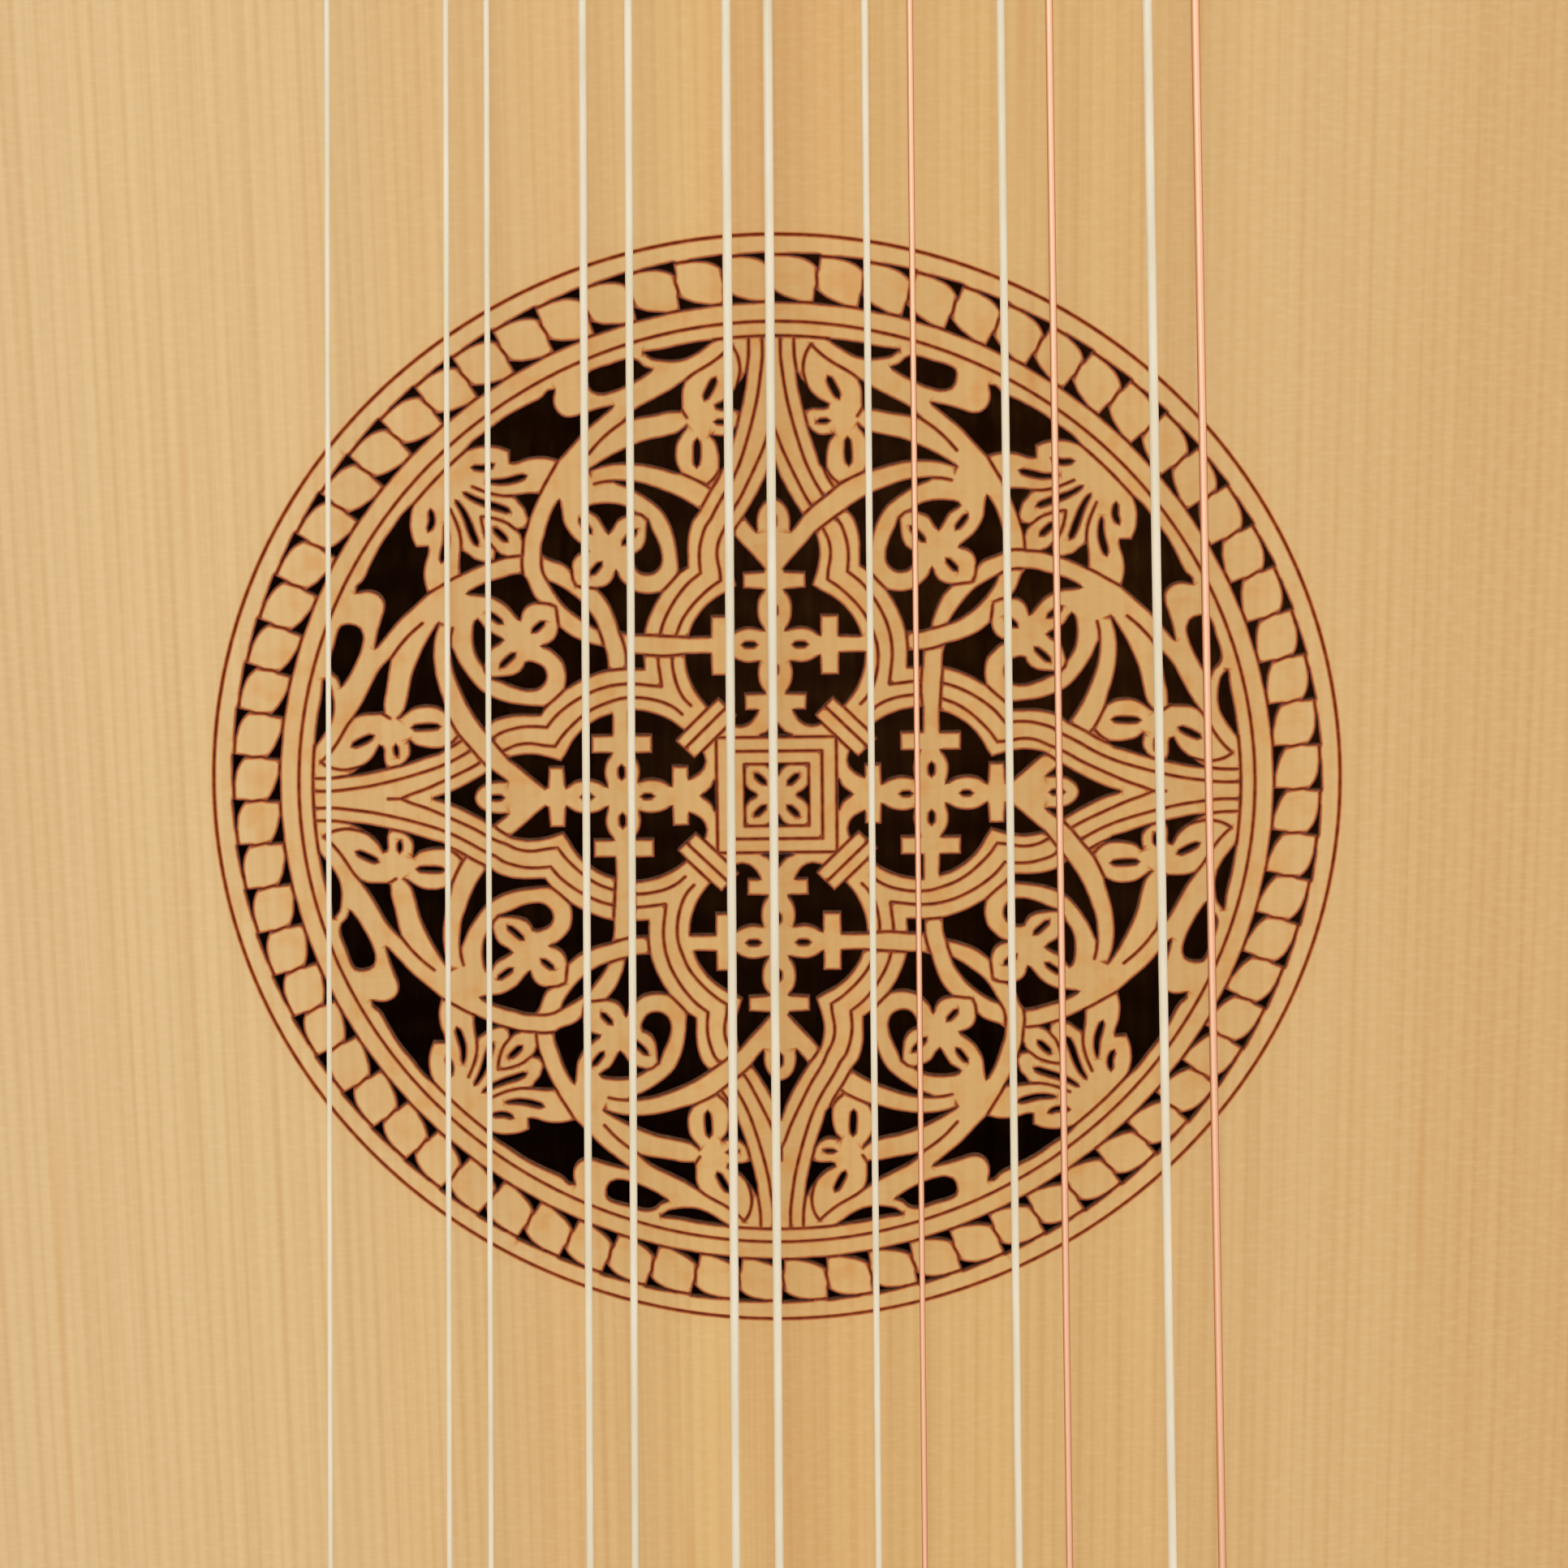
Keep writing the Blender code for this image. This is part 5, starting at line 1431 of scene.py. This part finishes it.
def build_peg(index):
    half = pegbox_half_width(peg_s(index))
    side = peg_side(index)
    tip, collar = half + TIP_PROUD, -half - COLLAR_GAP

    def shaft(height):
        return shaft_radius(index, -side * height)

    profile = [(0, tip), (shaft(tip) - 0.9 * MM, tip), (shaft(tip) - 0.25 * MM, tip - 0.3 * MM),
               (shaft(tip), tip - 1 * MM), (shaft(collar), collar + 0.4 * MM),
               (4.8 * MM, collar), (5.5 * MM, collar - 0.5 * MM), (5.6 * MM, collar - 1.2 * MM),
               (5.4 * MM, collar - 1.9 * MM), (4.7 * MM, collar - 2.3 * MM), (4.6 * MM, collar - 2.6 * MM),
               (5.0 * MM, collar - 3.0 * MM), (4.9 * MM, collar - 3.6 * MM), (3.9 * MM, collar - 4.2 * MM),
               (3.0 * MM, collar - 4.9 * MM), (2.7 * MM, collar - 6.0 * MM), (3.0 * MM, collar - 7.4 * MM),
               (2.4 * MM, collar - 9.5 * MM), (0, collar - 9.5 * MM)]
    shape = bmesh.new()
    rim = [shape.verts.new((radius, 0, height)) for radius, height in profile]
    edges = [shape.edges.new(pair) for pair in zip(rim, rim[1:])]
    bmesh.ops.spin(shape, geom=rim + edges, cent=(0, 0, 0), axis=(0, 0, 1), angle=math.tau, steps=32,
                   use_merge=True)
    bmesh.ops.remove_doubles(shape, verts=shape.verts, dist=0.005 * MM)
    middle = collar - GRIP_MIDDLE
    grip = bmesh.ops.create_uvsphere(shape, u_segments=32, v_segments=20, radius=1.0)["verts"]
    for vert in grip:
        x, y, z = vert.co
        rim_share = min(1.0, x * x + z * z)
        hollow = THUMB_HOLLOW + (1 - THUMB_HOLLOW) * rim_share
        heart = 1 - HEART_NARROWING * max(0.0, z)
        vert.co = (x * GRIP_SIZE[0] * heart, y * GRIP_SIZE[1] * hollow, middle + z * GRIP_SIZE[2])
    button = bmesh.ops.create_uvsphere(shape, u_segments=16, v_segments=10, radius=BUTTON_RADIUS)["verts"]
    bmesh.ops.translate(shape, vec=(0, 0, middle - GRIP_SIZE[2] - BUTTON_OUT), verts=button)
    bmesh.ops.recalc_face_normals(shape, faces=shape.faces)
    bmesh.ops.transform(shape, matrix=peg_matrix(index), verts=shape.verts)
    bmesh.ops.recalc_face_normals(shape, faces=shape.faces)
    return shape


COIL_TURNS = 5
TURN_PITCH = 2.15                   # from turn to turn, in radii of the string


def build_coil(index):
    """The string's turns round the shaft, the first where the string comes down onto it."""
    radius = string_radius(index)
    inward = -1 if nut_x(index) > 0 else 1
    shape = bmesh.new()
    for turn in range(COIL_TURNS):
        x = winding_x(index) + inward * TURN_PITCH * radius * turn
        middle = Vector((coil_radius(index), 0, -peg_side(index) * x))
        upright = Matrix.Translation(middle) @ Matrix.Rotation(math.pi / 2, 4, "X")
        ring = bmesh.ops.create_circle(shape, cap_ends=False, segments=8, radius=radius, matrix=upright)
        edges = {edge for vert in ring["verts"] for edge in vert.link_edges}
        bmesh.ops.spin(shape, geom=ring["verts"] + list(edges), cent=(0, 0, 0), axis=(0, 0, 1),
                       angle=math.tau, steps=24, use_merge=True)
    bmesh.ops.transform(shape, matrix=peg_matrix(index), verts=shape.verts)
    bmesh.ops.recalc_face_normals(shape, faces=shape.faces)
    return shape


for i in range(STRING_COUNT):
    node = "peg_%02d" % (i + 1)
    body = node + "_turning"
    add_piece(node + "_turned", build_peg(i), (PLUM,), body, "peg_plum", [node])
    finishes, slot = string_finish(i)
    add_piece(node + "_string_turns", build_coil(i), finishes, body, slot, sharp=60)
print("pegs:", STRING_COUNT)


# %% [markdown]
# ## Strap button
# A turned ebony button at the bottom of the bowl. Its flat end is where the object's origin is. It is
# a profile spun round the upright axis, like the pegs, and its stem ends inside the clasp.

# %% The strap button
def build_button():
    profile = [(0, 13.0), (5.4, 13.0), (5.4, 10.2), (5.0, 9.4), (4.1, 8.4), (3.5, 7.4), (3.4, 6.2),
               (3.6, 5.2), (4.6, 4.6), (6.0, 4.0), (6.7, 3.4), (7.0, 2.5), (6.9, 1.5), (6.4, 0.6),
               (5.7, 0.1), (5.2, 0.0), (0, 0.0)]
    shape = bmesh.new()
    rim = [shape.verts.new((radius * MM, 0, z * MM)) for radius, z in profile]
    edges = [shape.edges.new(pair) for pair in zip(rim, rim[1:])]
    bmesh.ops.spin(shape, geom=rim + edges, cent=(0, 0, 0), axis=(0, 0, 1), angle=math.tau, steps=48,
                   use_merge=True)
    bmesh.ops.remove_doubles(shape, verts=shape.verts, dist=0.005 * MM)
    bmesh.ops.recalc_face_normals(shape, faces=shape.faces)
    return shape


add_piece("strap_button_turned", build_button(), (EBONY,), "body", "neck_ebony", ["strap_button"])
print("strap button made")

# %% [markdown]
# ## Floor, light and camera
# The floor is plain and pale. The light is that of a soft daylight studio: an even sky, one wide soft
# lamp in front, a weaker one at the right, and one behind for the bowl, so that the strings throw
# almost no shadow. The camera looks down at the rose from a little above, with a long lens.

# %% The floor
FLOOR_HALF, FLOOR_BELOW = 6.0, 1 * MM


def make_floor():
    material, tree, shader = new_material("pale_painted_floor")
    place = add_node(tree, "TexCoord").outputs["Object"]
    cloud = add_node(tree, "TexNoise", {"Vector": place, "Scale": 6.0, "Detail": 3.0})
    colour = set_ramp(add_node(tree, "ValToRGB", {"Fac": cloud.outputs["Fac"]}),
                      [(0.3, "#D8D5CE"), (0.7, "#D6D3CB")])
    tree.links.new(colour, shader.inputs["Base Color"])
    shader.inputs["Roughness"].default_value = 0.8
    shape = bmesh.new()
    bmesh.ops.create_grid(shape, x_segments=1, y_segments=1, size=FLOOR_HALF)
    bmesh.ops.translate(shape, vec=(0, 0, cad_low.z - FLOOR_BELOW), verts=shape.verts)
    mesh = bpy.data.meshes.new("floor")
    shape.to_mesh(mesh)
    shape.free()
    mesh.materials.append(material)
    floor = bpy.data.objects.new("floor", mesh)
    bpy.context.scene.collection.objects.link(floor)


make_floor()


# %% The light
def add_lamp(name, place, target, width, height, power, warmth):
    lamp = bpy.data.lights.new(name, "AREA")
    lamp.shape, lamp.size, lamp.size_y = "RECTANGLE", width, height
    lamp.energy, lamp.color = power, linear(warmth)[:3]
    holder = bpy.data.objects.new(name, lamp)
    holder.location = place
    holder.rotation_mode = "QUATERNION"
    holder.rotation_quaternion = (Vector(target) - Vector(place)).to_track_quat("-Z", "Y")
    bpy.context.scene.collection.objects.link(holder)


rose_centre = Vector((0, FACE_Y, ROSE_Z))
add_lamp("soft_front_lamp", (-0.65, -2.0, 0.5), rose_centre, 1.8, 0.9, 14, "#FFF4E6")
add_lamp("soft_side_lamp", (1.8, -0.7, 0.9), rose_centre, 1.4, 1.4, 7, "#FFFFFF")
add_lamp("soft_back_lamp", (-1.0, 2.0, 1.4), (0, 0.05, 0.4), 1.6, 1.6, 14, "#FFFFFF")
world = bpy.data.worlds.new("soft_sky")
world.use_nodes = True
world.node_tree.nodes["Background"].inputs["Color"].default_value = linear("#F4F6F8")
world.node_tree.nodes["Background"].inputs["Strength"].default_value = 0.92
bpy.context.scene.world = world
bpy.context.scene.view_settings.view_transform = "Standard"

# %% The camera
LENS, SENSOR_WIDTH = 100.8, 36.0    # mm
EYE = Vector((0.00307, -0.4055, 0.11426))      # from the rose's centre
LOOK = Vector((-0.00562, 0.96318, -0.26880))
RIGHT = Vector((0.99993, 0.00261, -0.01156))
lens = bpy.data.cameras.new("camera")
lens.lens, lens.sensor_width = LENS, SENSOR_WIDTH
lens.clip_start = 0.01
camera = bpy.data.objects.new("camera", lens)
camera.matrix_world = axes_matrix(RIGHT, RIGHT.cross(LOOK), -LOOK, rose_centre + EYE)
bpy.context.scene.collection.objects.link(camera)
bpy.context.scene.camera = camera
print("camera %.0f mm from the rose" % (EYE.length / MM))
